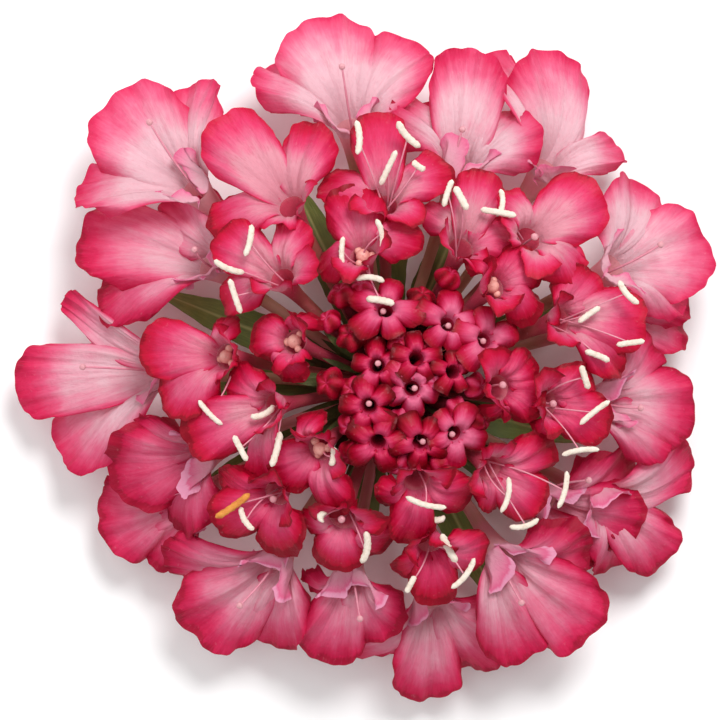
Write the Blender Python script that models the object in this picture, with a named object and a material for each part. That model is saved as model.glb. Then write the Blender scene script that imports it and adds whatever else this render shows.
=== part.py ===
"""Scabiosa flower head, snipped off under its bracts and lying face up. Metres, +Z up.

The origin is on the flower's axis, in the middle of the flat cut that it rests on. The florets' places are read
from straight above, on a plan whose grid is 720 steps square: x to the right and y down.
"""

import math
import random
from collections import namedtuple

import bmesh
import bpy
from mathutils import Vector

MM = 0.001

# The plan of the head, seen from above
PLAN_STEP = 0.09 * MM
PLAN_AXIS = (388, 385)
PLAN_STEP = 0.09 * MM
PLAN_AXIS = (388, 385)
FULLNESS = 1.1

# Heights above the surface that the head lies on
OUTER_THROAT_HEIGHT = 8.6 * MM
OUTER_TIP_HEIGHT = 6.6 * MM
OUTER_LAYER_STEP = 1.0 * MM
INNER_TOP_HEIGHT = 17.6 * MM
INNER_FALL = 0.135
INNER_CURVE = 4.0
INNER_TIP_DROP = 0.6 * MM
INNER_LAYER_STEP = 0.75 * MM
MIDDLE_LOWEST = 13.9 * MM
HEIGHT_SCATTER = 0.4 * MM

# The surface that the outer florets lie below and the inner florets lie above
SHELL_HEIGHT = 11.9 * MM
SHELL_DIP = 3.9 * MM
SHELL_DIP_RADIUS = 9.0 * MM
SHELL_DIP_POWER = 1.5
SHELL_FALL = 0.10
SHELL_FALL_START = 20.0 * MM
SHELL_GAP = 0.35 * MM
BEND_BACK = 0.13

# Petal lobes
BLADE = 0.62 * MM
STEEPEST = 0.6
SLOPE_STEP = 0.02
ROOT_DEPTH = 0.5 * MM
SIDE_LOBE_ANGLE = math.radians(72)
LOBE_HALF_ANGLE = math.radians(20)
PLACE_SWING = math.radians(25)
LOBE_ROOT_SHARE = 0.8
LOBE_FLARE = 0.8
LOBE_KNEE = 0.3
LEAST_SPREAD = 0.4
ROUNDING_OF_WIDTH = 0.55
ROUNDING_OF_REACH = 0.5
MARGIN_WRAP = 0.5
MARGIN_TANGENT = 0.9
WAVES = 3.1
WAVE_SHIFT = 40

# Tubes
TUBE_ROOT = 0.6 * MM
SMALL_TUBE = 0.7 * MM
DIMPLE = 0.6
WIDE_TUBE_STEPS = 2
STAR_TUBE_STEPS = 1
OUTER_TUBE_BEND = 0.3
INNER_TUBE_BEND = 0.45
OUTER_TUBE_SIDES = 6
INNER_TUBE_SIDES = 5

# Stalk and receptacle. A turned profile is (radius, height) from the bottom up.
CUT_RADIUS = 1.5 * MM
STALK_TOP = 3.2 * MM
RECEPTACLE_RADIUS = 4.4 * MM
RECEPTACLE_WIDEST = STALK_TOP + 0.9 * MM
RECEPTACLE_TOP = 5.6 * MM
STALK_PROFILE = (
    (CUT_RADIUS, 0.0), (CUT_RADIUS, STALK_TOP), (RECEPTACLE_RADIUS, RECEPTACLE_WIDEST),
    (RECEPTACLE_RADIUS * 0.9, RECEPTACLE_TOP),
)
TURNED_SIDES = 12

# The collar that carries the outer florets, and the core that carries the inner ones
COLLAR_RADIUS = 3.9 * MM
COLLAR_INNER = COLLAR_RADIUS * 0.35
COLLAR_BOTTOM = 5.9 * MM
COLLAR_TOP = 8.0 * MM
CORE_RADIUS = 3.6 * MM
CORE_BOTTOM = 8.4 * MM
CORE_WIDEST = CORE_BOTTOM + 2.0 * MM
CORE_TOP = 14.6 * MM
CORE_PROFILE = (
    (CORE_RADIUS * 0.7, CORE_BOTTOM), (CORE_RADIUS, CORE_WIDEST), (CORE_RADIUS * 0.5, CORE_TOP),
)

# Outer florets. A lobe's rows are (share of the way out, points across).
OUTER_LEAN = math.radians(50)
OUTER_MOUTH = 1.9 * MM
OUTER_TUBE_RADII = (TUBE_ROOT, TUBE_ROOT * 1.3, OUTER_MOUTH)
OUTER_ROOT_RADIUS = COLLAR_RADIUS * 0.85
OUTER_ROOT_HEIGHT = COLLAR_BOTTOM + 1.1 * MM
OUTER_WAVE = 0.35 * MM
OUTER_CUP = 0.5 * MM
OUTER_ROWS = ((0, 2), (0.55, 3), (1, 7))

# Florets of the rings between the rim and the middle
MIDDLE_LEAN = math.radians(36)
MIDDLE_MOUTH = 1.35 * MM
MIDDLE_TUBE_RADII = (TUBE_ROOT, TUBE_ROOT * 1.15, MIDDLE_MOUTH)
MIDDLE_ROOT_RADIUS = CORE_RADIUS * 0.8
MIDDLE_ROOT_HEIGHT = CORE_BOTTOM + 2.2 * MM
MIDDLE_WAVE = 0.15 * MM
MIDDLE_CUP = 0.3 * MM
MIDDLE_ROWS = ((0, 2), (1, 5))

# Star florets. A star's outline is (turn from a lobe's middle, share of its reach, lift), once for each lobe.
STAR_LOBES = 5
STAR_MOUTH = 0.8 * MM
STAR_LIFT = 0.5 * MM
STAR_MOST_LEAN = 0.5
STAR_LEAN_RADIUS = 16.0 * MM
STAR_ROOT_RADIUS = CORE_RADIUS * 0.4
STAR_ROOT_HEIGHT = CORE_TOP - 2.5 * MM
STAR_REACH_SPREAD = (0.9, 1.08)
STAR_OUTLINE = (
    (math.radians(-36), 0.45, 0.0), (math.radians(-20), 0.85, 0.3 * MM),
    (0.0, 1.0, 0.1 * MM), (math.radians(20), 0.85, 0.3 * MM),
)
STAR_DISH = 0.3 * MM
STAR_UNDERSIDE = 1.0 * MM

# Florets in bud
BUD_SINK = 0.6 * MM
BUD_ROOT_RADIUS = CORE_RADIUS * 0.5
BUD_ROOT_HEIGHT = CORE_TOP - 3.5 * MM
BUD_SIDES = 6

# Stamens
ANTHER_LENGTH = 2.4 * MM
ANTHER_RADIUS = 0.42 * MM
ANTHER_LIFT = 1.5 * MM
ANTHER_SIDES = 4
SPINDLE_SHOULDERS = (0.2, 0.8)
UPRIGHT = 0.9
FILAMENT_RADIUS = 0.32 * MM
FILAMENT_DEPTH = 0.8 * MM
FILAMENT_SIDES = 3

# Bracts
BRACT_COUNT = 11
BRACT_WIDTH = 4.2 * MM
BRACT_LENGTH = 23.0 * MM
BRACT_LENGTH_SPREAD = (0.82, 1.1)
BRACT_SWAY = 0.35
BRACT_FIRST_ANGLE = 0.42
BRACT_ROOT_RADIUS = RECEPTACLE_RADIUS * 0.6
BRACT_ARCH = 1.5 * MM
BRACT_ARCH_TURN = math.pi * 0.8
BRACT_TIP_HEIGHT = 0.35 * MM
BRACT_FOOT = 0.28
BRACT_BELLY = 2.02
BRACT_BELLY_POWER = 0.8
BRACT_TAPER = 0.86
BRACT_CREASE = 0.45 * MM
BRACT_CREASE_PACE = 1.1
BRACT_ROWS = ((0, 2), (0.25, 3), (0.5, 3), (0.75, 3), (1, 2))
BRACT_CLEARANCE = 5.9 * MM
BRACT_FALL_START = 9.0 * MM
BRACT_FALL = 0.2

GREEN = (0.16, 0.24, 0.05)
PALE_PINK = (0.80, 0.22, 0.34)
CRIMSON = (0.62, 0.02, 0.10)
SEED = 11
ANTHER_LIFT = 1.5 * MM

# Each wide lobe is its tip's x and y and its width, from the anticlockwise side lobe to the clockwise one.
# The layer is how high an outer floret lies among its neighbours, from 0 at the back to 2 in front.
Floret = namedtuple("Floret", "throat left middle right layer")

OUTER_FLORETS = [
    Floret((352, 128), (258, 62, 48), (318, 13, 98), (405, 32, 76), 1),
    Floret((196, 190), (72, 185, 48), (105, 100, 95), (190, 78, 60), 2),
    Floret((212, 265), (95, 300, 62), (77, 228, 80), (165, 192, 65), 1),
    Floret((160, 372), (55, 452, 78), (12, 382, 60), (57, 302, 24), 0),
    Floret((205, 455), (165, 525, 68), (108, 475, 75), (118, 425, 42), 2),
    Floret((190, 500), (140, 562, 50), (97, 540, 76), (102, 495, 30), 0),
    Floret((278, 560), (272, 652, 60), (190, 640, 80), (165, 560, 48), 1),
    Floret((350, 575), (378, 645, 62), (325, 667, 58), (303, 590, 24), 2),
    Floret((430, 600), (500, 672, 72), (428, 707, 62), (362, 666, 45), 0),
    Floret((500, 555), (592, 560, 70), (590, 640, 80), (530, 664, 66), 2),
    Floret((545, 500), (640, 470, 62), (642, 530, 60), (610, 560, 40), 1),
    Floret((600, 500), (702, 462, 55), (675, 560, 60), (620, 572, 45), 0),
    Floret((600, 400), (662, 345, 65), (697, 415, 78), (675, 445, 50), 2),
    Floret((612, 270), (650, 182, 70), (711, 240, 85), (690, 295, 50), 2),
    Floret((545, 170), (493, 44, 35), (555, 46, 82), (626, 142, 36), 0),
    Floret((458, 170), (405, 90, 52), (475, 47, 66), (530, 112, 62), 2),
    Floret((608, 322), (694, 300, 45), (692, 326, 55), (668, 350, 35), 0),
]

MIDDLE_FLORETS = [
    Floret((292, 208), (207, 218, 50), (215, 122, 62), (310, 122, 50), 0),
    Floret((283, 281), (220, 298, 38), (222, 232, 46), (290, 220, 38), 2),
    Floret((384, 207), (322, 180, 42), (377, 113, 48), (446, 160, 46), 1),
    Floret((363, 258), (317, 262, 38), (350, 185, 52), (416, 224, 44), 2),
    Floret((460, 250), (432, 200, 30), (487, 172, 44), (515, 232, 42), 0),
    Floret((527, 240), (512, 188, 30), (598, 190, 62), (585, 270, 48), 1),
    Floret((490, 288), (478, 250, 32), (533, 255, 42), (541, 310, 36), 2),
    Floret((557, 320), (598, 277, 46), (646, 318, 60), (624, 368, 36), 0),
    Floret((544, 403), (592, 377, 42), (612, 425, 46), (548, 442, 24), 1),
    Floret((496, 388), (535, 363, 40), (543, 402, 40), (498, 420, 30), 2),
    Floret((488, 467), (557, 450, 42), (541, 508, 46), (494, 510, 24), 1),
    Floret((416, 478), (471, 500, 44), (409, 543, 40), (382, 505, 36), 2),
    Floret((430, 540), (484, 558, 44), (437, 604, 42), (400, 575, 24), 0),
    Floret((321, 447), (335, 517, 38), (276, 478, 46), (306, 412, 32), 2),
    Floret((277, 405), (260, 480, 38), (184, 438, 54), (228, 378, 36), 1),
    Floret((278, 492), (281, 556, 46), (214, 525, 46), (216, 478, 28), 0),
    Floret((343, 516), (389, 548, 46), (335, 570, 46), (304, 525, 26), 1),
    Floret((228, 357), (162, 405, 54), (142, 345, 52), (222, 316, 26), 0),
    Floret((296, 342), (283, 380, 36), (252, 332, 38), (306, 312, 32), 2),
]

# Star florets of the middle: x and y of the throat, and the reach of the five lobes
STAR_FLORETS = [
    (385, 312, 32), (446, 325, 30), (482, 341, 31), (377, 366, 25), (411, 388, 28), (369, 405, 25),
    (378, 440, 28), (419, 440, 28), (452, 432, 29), (415, 359, 22), (450, 372, 20),
]

# Florets still in bud: x, y and radius
BUDS = [(343, 296, 12), (352, 337, 12), (331, 383, 13), (455, 408, 11), (447, 279, 12)]

# Anthers: x and y of the middle, and the angle that each lies at, in degrees
ANTHERS = [
    (357, 140, 92), (388, 170, 70), (408, 137, -50), (343, 252, 90), (379, 237, -80), (250, 242, 78),
    (231, 268, -22), (237, 297, -75), (447, 195, 75), (460, 200, -60), (497, 206, 85), (370, 281, -5),
    (626, 293, -60), (587, 315, 35), (628, 343, 12), (595, 356, -25), (582, 377, -70), (592, 412, 40),
    (578, 451, 10), (503, 493, 72), (522, 521, 17), (560, 488, 78), (425, 500, -17), (448, 546, -68),
    (462, 571, 62), (212, 412, -48), (264, 411, 30), (242, 447, -62), (277, 448, 78), (248, 517, -60),
    (234, 504, 35), (364, 545, 80),
]


def on_plan(x, y, height=0.0):
    """The point of the head that stands at x, y on the plan."""
    return Vector(((x - PLAN_AXIS[0]) * PLAN_STEP, (PLAN_AXIS[1] - y) * PLAN_STEP, height))


def radius_of(point):
    return math.hypot(point.x, point.y)


def shell_height(radius):
    """Height of the surface that parts the outer florets below it from the inner ones above it."""
    dip = SHELL_DIP * max(0.0, 1 - radius / SHELL_DIP_RADIUS) ** SHELL_DIP_POWER
    fall = SHELL_FALL * max(0.0, radius - SHELL_FALL_START)
    return SHELL_HEIGHT - dip - fall


def inner_height(point):
    """Height of a throat of the domed middle."""
    radius = radius_of(point)
    return INNER_TOP_HEIGHT - INNER_FALL * radius - INNER_CURVE * radius * radius


def clean_scene():
    for obj in list(bpy.data.objects):
        bpy.data.objects.remove(obj)


def material(name, colour, roughness):
    made = bpy.data.materials.new(name)
    made.use_nodes = True
    shader = made.node_tree.nodes["Principled BSDF"]
    shader.inputs["Base Color"].default_value = (*colour, 1)
    shader.inputs["Roughness"].default_value = roughness
    shader.inputs["Metallic"].default_value = 0.0
    return made


class Frame:
    """A floret's mouth: its middle, its axis, and the outward and sideways directions of its rim."""

    def __init__(self, throat, lean, mouth):
        outward = Vector((throat.x, throat.y, 0)).normalized()
        up = Vector((0, 0, 1))
        self.throat = throat
        self.mouth = mouth
        self.axis = (outward * math.sin(lean) + up * math.cos(lean)).normalized()
        self.out = (outward * math.cos(lean) - up * math.sin(lean)).normalized()
        self.side = self.axis.cross(self.out)

    def spread(self, angle):
        return self.out * math.cos(angle) + self.side * math.sin(angle)

    def rim(self, angle, share):
        return self.throat + self.spread(angle) * (self.mouth * share)

    def place_towards(self, tip, wished):
        """The place on the rim, near the wished one, that a lobe's tip is straight out from."""
        way = tip - self.throat
        turn = math.atan2(way.dot(self.side), way.dot(self.out)) - wished
        turn = (turn + math.pi) % (2 * math.pi) - math.pi
        return wished + max(-PLACE_SWING, min(PLACE_SWING, turn))


def lobe_surface(frame, place, tip, width, wave, cup, settle):
    """A lobe's middle surface, from the rim of its tube to its margin, and the way that the lobe faces.

    The surface is a function of the side, from -1 to 1, and of the share of the way out, from 0 to 1.
    """
    root = frame.rim(place, LOBE_ROOT_SHARE)
    along = tip - root
    reach = along.length
    along.normalize()
    level = along - frame.axis * along.dot(frame.axis)
    spread = level.normalized() if level.length > LEAST_SPREAD else frame.spread(place)
    normal = along.cross(frame.axis.cross(spread)).normalized()
    across = normal.cross(along)
    rounding = min(width * ROUNDING_OF_WIDTH, reach * ROUNDING_OF_REACH)
    margin_end = math.acos(-min(MARGIN_WRAP, MARGIN_TANGENT * rounding / (reach - rounding)))

    def point_at(side, share):
        turn = side * margin_end
        start = frame.rim(place + LOBE_HALF_ANGLE * side, LOBE_ROOT_SHARE) - frame.axis * ROOT_DEPTH
        margin = root + along * (reach - rounding + rounding * math.cos(turn))
        margin += across * (width / 2 * math.sin(turn))
        wall = (frame.axis + (start - frame.throat).normalized() * LOBE_FLARE).normalized()
        knee = start + wall * ((margin - start).length * LOBE_KNEE)
        point = start * (1 - share) ** 2 + knee * (2 * share * (1 - share)) + margin * share**2
        lift = cup * math.sin(turn) ** 2 + wave * math.sin(WAVES * turn + WAVE_SHIFT * place)
        return settle(point + normal * (lift * share**2), BLADE)

    return point_at, normal


def surface_row(surface, facing, share, count):
    """One row of a surface, spread evenly from side to side: each point and the way from it to the upper face."""
    row = []
    for k in range(count):
        side = 2 * k / (count - 1) - 1
        down = surface(side, min(1, share + SLOPE_STEP)) - surface(side, max(0, share - SLOPE_STEP))
        right = surface(min(1, side + SLOPE_STEP), share) - surface(max(-1, side - SLOPE_STEP), share)
        slope = max(STEEPEST, abs(down.cross(right).normalized().dot(facing)))
        row.append((surface(side, share), facing * (BLADE / 2 / slope)))
    return row


def strip_between(row, following):
    """Triangles between two rows that may differ in how many points they have."""
    i = j = 0
    triangles = []
    while i < len(row) - 1 or j < len(following) - 1:
        ahead = (i + 1) / (len(row) - 1) if i < len(row) - 1 else 2
        beside = (j + 1) / (len(following) - 1) if j < len(following) - 1 else 2
        if ahead < beside:
            triangles.append((row[i], following[j], row[i + 1]))
            i += 1
        else:
            triangles.append((row[i], following[j], following[j + 1]))
            j += 1
    return triangles


def blade_mesh(name, surface, facing, rows):
    """A closed thin solid round a surface, split into triangles alike on both faces."""
    mesh = bmesh.new()
    sampled = [surface_row(surface, facing, share, count) for share, count in rows]
    top = [[mesh.verts.new(point + lift) for point, lift in row] for row in sampled]
    bottom = [[mesh.verts.new(point - lift) for point, lift in row] for row in sampled]
    for face in (top, bottom):
        for row, following in zip(face, face[1:]):
            for triangle in strip_between(row, following):
                mesh.faces.new(triangle)
    last = len(rows) - 1
    loop = [(0, j) for j in range(len(top[0]))]
    loop += [(i, len(top[i]) - 1) for i in range(1, last)]
    loop += [(last, j) for j in range(len(top[last]) - 1, -1, -1)]
    loop += [(i, 0) for i in range(last - 1, 0, -1)]
    for here, there in zip(loop, loop[1:] + loop[:1]):
        a, b = top[here[0]][here[1]], top[there[0]][there[1]]
        c, d = bottom[there[0]][there[1]], bottom[here[0]][here[1]]
        mesh.faces.new((a, b, c))
        mesh.faces.new((a, c, d))
    return finished(name, mesh)


def finished(name, mesh):
    """The bmesh as a mesh object whose faces point out."""
    bmesh.ops.recalc_face_normals(mesh, faces=mesh.faces)
    data = bpy.data.meshes.new(name)
    mesh.to_mesh(data)
    mesh.free()
    return bpy.data.objects.new(name, data)


def tube_mesh(name, path, radii, sides, side=Vector((1, 0, 0)), mouth=None):
    """A closed tube of few sides along a path, with a flat root and a dimple in its mouth."""
    mesh = bmesh.new()
    turns = [2 * math.pi * k / sides for k in range(sides)]
    rings = []
    for i, point in enumerate(path):
        ahead = (path[min(i + 1, len(path) - 1)] - path[max(i - 1, 0)]).normalized()
        if mouth and i == len(path) - 1:
            ahead = mouth
        first = (side - ahead * side.dot(ahead)).normalized()
        second = ahead.cross(first)
        ways = [first * (math.cos(a) * radii[i]) + second * (math.sin(a) * radii[i]) for a in turns]
        rings.append([mesh.verts.new(point + way) for way in ways])
    for lower, upper in zip(rings, rings[1:]):
        for k in range(sides):
            mesh.faces.new((lower[k], lower[(k + 1) % sides], upper[(k + 1) % sides], upper[k]))
    mesh.faces.new(rings[0])
    down = mouth or (path[-1] - path[-2]).normalized()
    dimple = mesh.verts.new(path[-1] - down * radii[-1] * DIMPLE)
    for k in range(sides):
        mesh.faces.new((rings[-1][k], rings[-1][(k + 1) % sides], dimple))
    bmesh.ops.triangulate(mesh, faces=mesh.faces)
    return finished(name, mesh)


def spindle_mesh(name, start, end, radius, sides):
    """A closed spindle with pointed ends, for an anther or a bud."""
    mesh = bmesh.new()
    along = (end - start).normalized()
    helper = Vector((0, 0, 1)) if abs(along.z) < UPRIGHT else Vector((1, 0, 0))
    first = along.cross(helper).normalized()
    second = along.cross(first)
    turns = [2 * math.pi * k / sides for k in range(sides)]
    rings = []
    for share in SPINDLE_SHOULDERS:
        middle = start.lerp(end, share)
        ways = [first * math.cos(a) + second * math.sin(a) for a in turns]
        rings.append([mesh.verts.new(middle + way * radius) for way in ways])
    tips = (mesh.verts.new(start), mesh.verts.new(end))
    for k in range(sides):
        following = (k + 1) % sides
        mesh.faces.new((tips[0], rings[0][following], rings[0][k]))
        mesh.faces.new((rings[0][k], rings[0][following], rings[1][following], rings[1][k]))
        mesh.faces.new((tips[1], rings[1][k], rings[1][following]))
    bmesh.ops.triangulate(mesh, faces=mesh.faces)
    return finished(name, mesh)


def ring_about_axis(mesh, radius, height, first, sides):
    """Points round the head's axis, the first of them that share of a step on."""
    turns = [2 * math.pi * (k + first) / sides for k in range(sides)]
    return [mesh.verts.new((radius * math.cos(a), radius * math.sin(a), height)) for a in turns]


def turned_mesh(name, profile, sides):
    """A closed turned solid about the head's axis. Its profile is (radius, height) from the bottom up."""
    mesh = bmesh.new()
    rings = [ring_about_axis(mesh, radius, height, 0.5, sides) for radius, height in profile]
    for lower, upper in zip(rings, rings[1:]):
        for k in range(sides):
            mesh.faces.new((lower[k], lower[(k + 1) % sides], upper[(k + 1) % sides], upper[k]))
    mesh.faces.new(rings[0])
    mesh.faces.new(rings[-1])
    bmesh.ops.triangulate(mesh, faces=mesh.faces)
    return finished(name, mesh)


def collar_mesh(name, inner, outer, bottom, top, sides):
    """A closed ring about the head's axis."""
    mesh = bmesh.new()
    corners = ((inner, bottom), (outer, bottom), (outer, top), (inner, top))
    rings = [ring_about_axis(mesh, radius, height, 0.0, sides) for radius, height in corners]
    for lower, upper in zip(rings, rings[1:] + rings[:1]):
        for k in range(sides):
            mesh.faces.new((lower[k], lower[(k + 1) % sides], upper[(k + 1) % sides], upper[k]))
    bmesh.ops.triangulate(mesh, faces=mesh.faces)
    return finished(name, mesh)


def tube_path(root, frame, steps, bend):
    """Points from a floret's root to its mouth, which it meets along its axis."""
    span = (frame.throat - root).length
    knee = frame.throat - frame.axis * (span * bend)
    points = []
    for i in range(steps + 1):
        share = i / steps
        points.append(root * (1 - share) ** 2 + knee * (2 * share * (1 - share)) + frame.throat * share**2)
    return points


def root_on(radius, height, throat):
    """The place at a radius and height, on the side of the head that a throat is on."""
    outward = Vector((throat.x, throat.y, 0)).normalized()
    return outward * radius + Vector((0, 0, height))


def lie_below(point, thickness):
    """The point, moved where it would come too near the shell above it or the bracts below it."""
    ceiling = shell_height(radius_of(point)) - SHELL_GAP - thickness
    floor = BRACT_CLEARANCE - BRACT_FALL * max(0.0, radius_of(point) - BRACT_FALL_START) + thickness
    height = point.z
    if height > ceiling:
        height = ceiling - BEND_BACK * (height - ceiling)
    if height < floor:
        height = floor + BEND_BACK * (floor - height)
    return Vector((point.x, point.y, height))


def lie_above(point, thickness):
    """The point, lifted where it would come too near the shell that parts the florets."""
    floor = shell_height(radius_of(point)) + SHELL_GAP + thickness
    if point.z >= floor or radius_of(point) < CORE_RADIUS:
        return point
    return Vector((point.x, point.y, floor + BEND_BACK * (floor - point.z)))


def settled_path(path, radii, settle):
    """The path with its ends kept and every point between them settled."""
    between = [settle(point, radius) for point, radius in zip(path[1:-1], radii[1:-1])]
    return path[:1] + between + path[-1:]


def wide_lobes(name, frame, floret, tip_height, ruffle, rows, dice, settle):
    """The three wide lobes that spread away from the head's middle."""
    wave, cup = ruffle
    made = []
    for k, lobe in enumerate((floret.left, floret.middle, floret.right)):
        tip = on_plan(lobe[0], lobe[1], tip_height + dice.uniform(-HEIGHT_SCATTER, HEIGHT_SCATTER))
        place = frame.place_towards(tip, SIDE_LOBE_ANGLE * (1 - k))
        surface, facing = lobe_surface(frame, place, tip, lobe[2] * PLAN_STEP * FULLNESS, wave, cup, settle)
        made.append(blade_mesh(f"{name}_{k}", surface, facing, rows))
    return made


def outer_floret(index, floret, dice):
    """The solids of one wide floret of the rim of the head."""
    layer = OUTER_LAYER_STEP * (floret.layer - 1)
    throat = on_plan(*floret.throat, OUTER_THROAT_HEIGHT + layer)
    frame = Frame(throat, OUTER_LEAN, OUTER_MOUTH)
    root = root_on(OUTER_ROOT_RADIUS, OUTER_ROOT_HEIGHT, throat)
    path = tube_path(root, frame, WIDE_TUBE_STEPS, OUTER_TUBE_BEND)
    path = settled_path(path, OUTER_TUBE_RADII, lie_below)
    tube = tube_mesh(f"outer_tube_{index}", path, OUTER_TUBE_RADII, OUTER_TUBE_SIDES, frame.side, frame.axis)
    ruffle = (OUTER_WAVE, OUTER_CUP)
    tip_height = OUTER_TIP_HEIGHT + layer
    name = f"outer_lobe_{index}"
    return [tube] + wide_lobes(name, frame, floret, tip_height, ruffle, OUTER_ROWS, dice, lie_below)


def middle_throat(floret):
    height = inner_height(on_plan(*floret.throat)) + INNER_LAYER_STEP * (floret.layer - 1)
    return on_plan(*floret.throat, max(height, MIDDLE_LOWEST))


def middle_floret(index, floret, dice):
    """The solids of one floret of the rings between the rim and the middle."""
    throat = middle_throat(floret)
    frame = Frame(throat, MIDDLE_LEAN, MIDDLE_MOUTH)
    root = root_on(MIDDLE_ROOT_RADIUS, MIDDLE_ROOT_HEIGHT, throat)
    path = tube_path(root, frame, WIDE_TUBE_STEPS, INNER_TUBE_BEND)
    path = settled_path(path, MIDDLE_TUBE_RADII, lie_above)
    tube = tube_mesh(f"middle_tube_{index}", path, MIDDLE_TUBE_RADII, INNER_TUBE_SIDES, frame.side, frame.axis)
    ruffle = (MIDDLE_WAVE, MIDDLE_CUP)
    tip_height = throat.z - INNER_TIP_DROP
    name = f"middle_lobe_{index}"
    return [tube] + wide_lobes(name, frame, floret, tip_height, ruffle, MIDDLE_ROWS, dice, lie_above)


def star_mesh(name, frame, reach, start, dice):
    """A closed star of five rounded lobes in one piece, dished in the middle."""
    mesh = bmesh.new()
    outline = []
    for k in range(STAR_LOBES):
        middle = start + 2 * math.pi * k / STAR_LOBES
        long = reach * dice.uniform(*STAR_REACH_SPREAD)
        for turn, share, lift in STAR_OUTLINE:
            way = frame.spread(middle + turn)
            outline.append(frame.throat + way * (long * share) + frame.axis * lift)
    top = [mesh.verts.new(point + frame.axis * (BLADE / 2)) for point in outline]
    bottom = [mesh.verts.new(point - frame.axis * (BLADE / 2)) for point in outline]
    dish = mesh.verts.new(frame.throat - frame.axis * STAR_DISH)
    under = mesh.verts.new(frame.throat - frame.axis * STAR_UNDERSIDE)
    for k in range(len(outline)):
        following = (k + 1) % len(outline)
        mesh.faces.new((top[k], top[following], dish))
        mesh.faces.new((bottom[following], bottom[k], under))
        mesh.faces.new((bottom[k], bottom[following], top[following]))
        mesh.faces.new((bottom[k], top[following], top[k]))
    return finished(name, mesh)


def star_floret(index, star, dice):
    """The solids of one small regular floret of the middle."""
    x, y, reach_steps = star
    lift = STAR_LIFT + dice.uniform(-HEIGHT_SCATTER, HEIGHT_SCATTER)
    throat = on_plan(x, y, inner_height(on_plan(x, y)) + lift)
    frame = Frame(throat, min(STAR_MOST_LEAN, radius_of(throat) / STAR_LEAN_RADIUS), STAR_MOUTH)
    root = root_on(STAR_ROOT_RADIUS, STAR_ROOT_HEIGHT, throat)
    path = tube_path(root, frame, STAR_TUBE_STEPS, INNER_TUBE_BEND)
    tube = tube_mesh(f"star_tube_{index}", path, [SMALL_TUBE] * 2, INNER_TUBE_SIDES, frame.side)
    star = star_mesh(f"star_{index}", frame, reach_steps * PLAN_STEP, dice.uniform(0, math.pi), dice)
    return [tube, star]


def bud(index, place):
    """The solids of one floret that is still closed."""
    x, y, radius_steps = place
    top = on_plan(x, y, inner_height(on_plan(x, y)) - BUD_SINK)
    root = root_on(BUD_ROOT_RADIUS, BUD_ROOT_HEIGHT, top)
    along = (top - root).normalized()
    path = [root, root.lerp(top, 0.5), top]
    stalk = tube_mesh(f"bud_tube_{index}", path, [TUBE_ROOT, SMALL_TUBE, SMALL_TUBE], INNER_TUBE_SIDES)
    radius = radius_steps * PLAN_STEP
    ball = spindle_mesh(f"bud_ball_{index}", top - along * radius, top + along * radius, radius, BUD_SIDES)
    return [stalk, ball]


def stamen(index, anther):
    """An anther and the filament that carries it from the nearest throat."""
    x, y, angle = anther
    nearest = min(MIDDLE_FLORETS, key=lambda floret: math.dist(floret.throat, (x, y)))
    throat = middle_throat(nearest)
    foot = throat - Vector((0, 0, FILAMENT_DEPTH))
    middle = on_plan(x, y, throat.z + ANTHER_LIFT)
    half = Vector((math.cos(math.radians(angle)), math.sin(math.radians(angle)), 0)) * (ANTHER_LENGTH / 2)
    filament = tube_mesh(f"filament_{index}", [foot, middle], [FILAMENT_RADIUS] * 2, FILAMENT_SIDES)
    sac = spindle_mesh(f"anther_{index}", middle - half, middle + half, ANTHER_RADIUS, ANTHER_SIDES)
    return [filament, sac]


def bract(index, dice):
    """One green bract, arching from the receptacle down to the surface."""
    angle = 2 * math.pi * (index + BRACT_SWAY * dice.uniform(-1, 1)) / BRACT_COUNT + BRACT_FIRST_ANGLE
    reach = BRACT_LENGTH * dice.uniform(*BRACT_LENGTH_SPREAD)
    outward = Vector((math.cos(angle), math.sin(angle), 0))
    across = Vector((-outward.y, outward.x, 0))
    fall = RECEPTACLE_WIDEST + BRACT_ARCH * math.sin(BRACT_ARCH_TURN) - BRACT_TIP_HEIGHT

    def point_at(side, share):
        swell = BRACT_FOOT + BRACT_BELLY * share * (1 - share) ** BRACT_BELLY_POWER
        half = BRACT_WIDTH / 2 * swell * (1 - BRACT_TAPER * share**4)
        height = RECEPTACLE_WIDEST + BRACT_ARCH * math.sin(BRACT_ARCH_TURN * share) - fall * share**2
        crease = BRACT_CREASE * abs(side) * math.sin(math.pi * min(1.0, share * BRACT_CREASE_PACE))
        out = BRACT_ROOT_RADIUS + (reach - BRACT_ROOT_RADIUS) * share
        return outward * out + across * (half * side) + Vector((0, 0, height + crease))

    made = blade_mesh(f"bract_{index}", point_at, Vector((0, 0, 1)), BRACT_ROWS)
    for vertex in made.data.vertices:
        vertex.co.z = max(0.0, vertex.co.z)
    return made


def main_body(mesh):
    """The mesh's largest closed piece, so that no sealed hollow and no loose scrap is left."""
    work = bmesh.new()
    work.from_mesh(mesh)
    bmesh.ops.triangulate(work, faces=work.faces)
    unseen = set(work.faces)
    pieces = []
    while unseen:
        waiting = [unseen.pop()]
        piece = list(waiting)
        while waiting:
            face = waiting.pop()
            whole = [edge for edge in face.edges if len(edge.link_faces) == 2]
            near = {other for edge in whole for other in edge.link_faces} & unseen
            unseen -= near
            waiting.extend(near)
            piece.extend(near)
        pieces.append(piece)
    pieces.sort(key=len)
    scraps = [face for piece in pieces[:-1] for face in piece]
    bmesh.ops.delete(work, geom=scraps, context="FACES")
    work.to_mesh(mesh)
    work.free()
    return mesh


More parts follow.
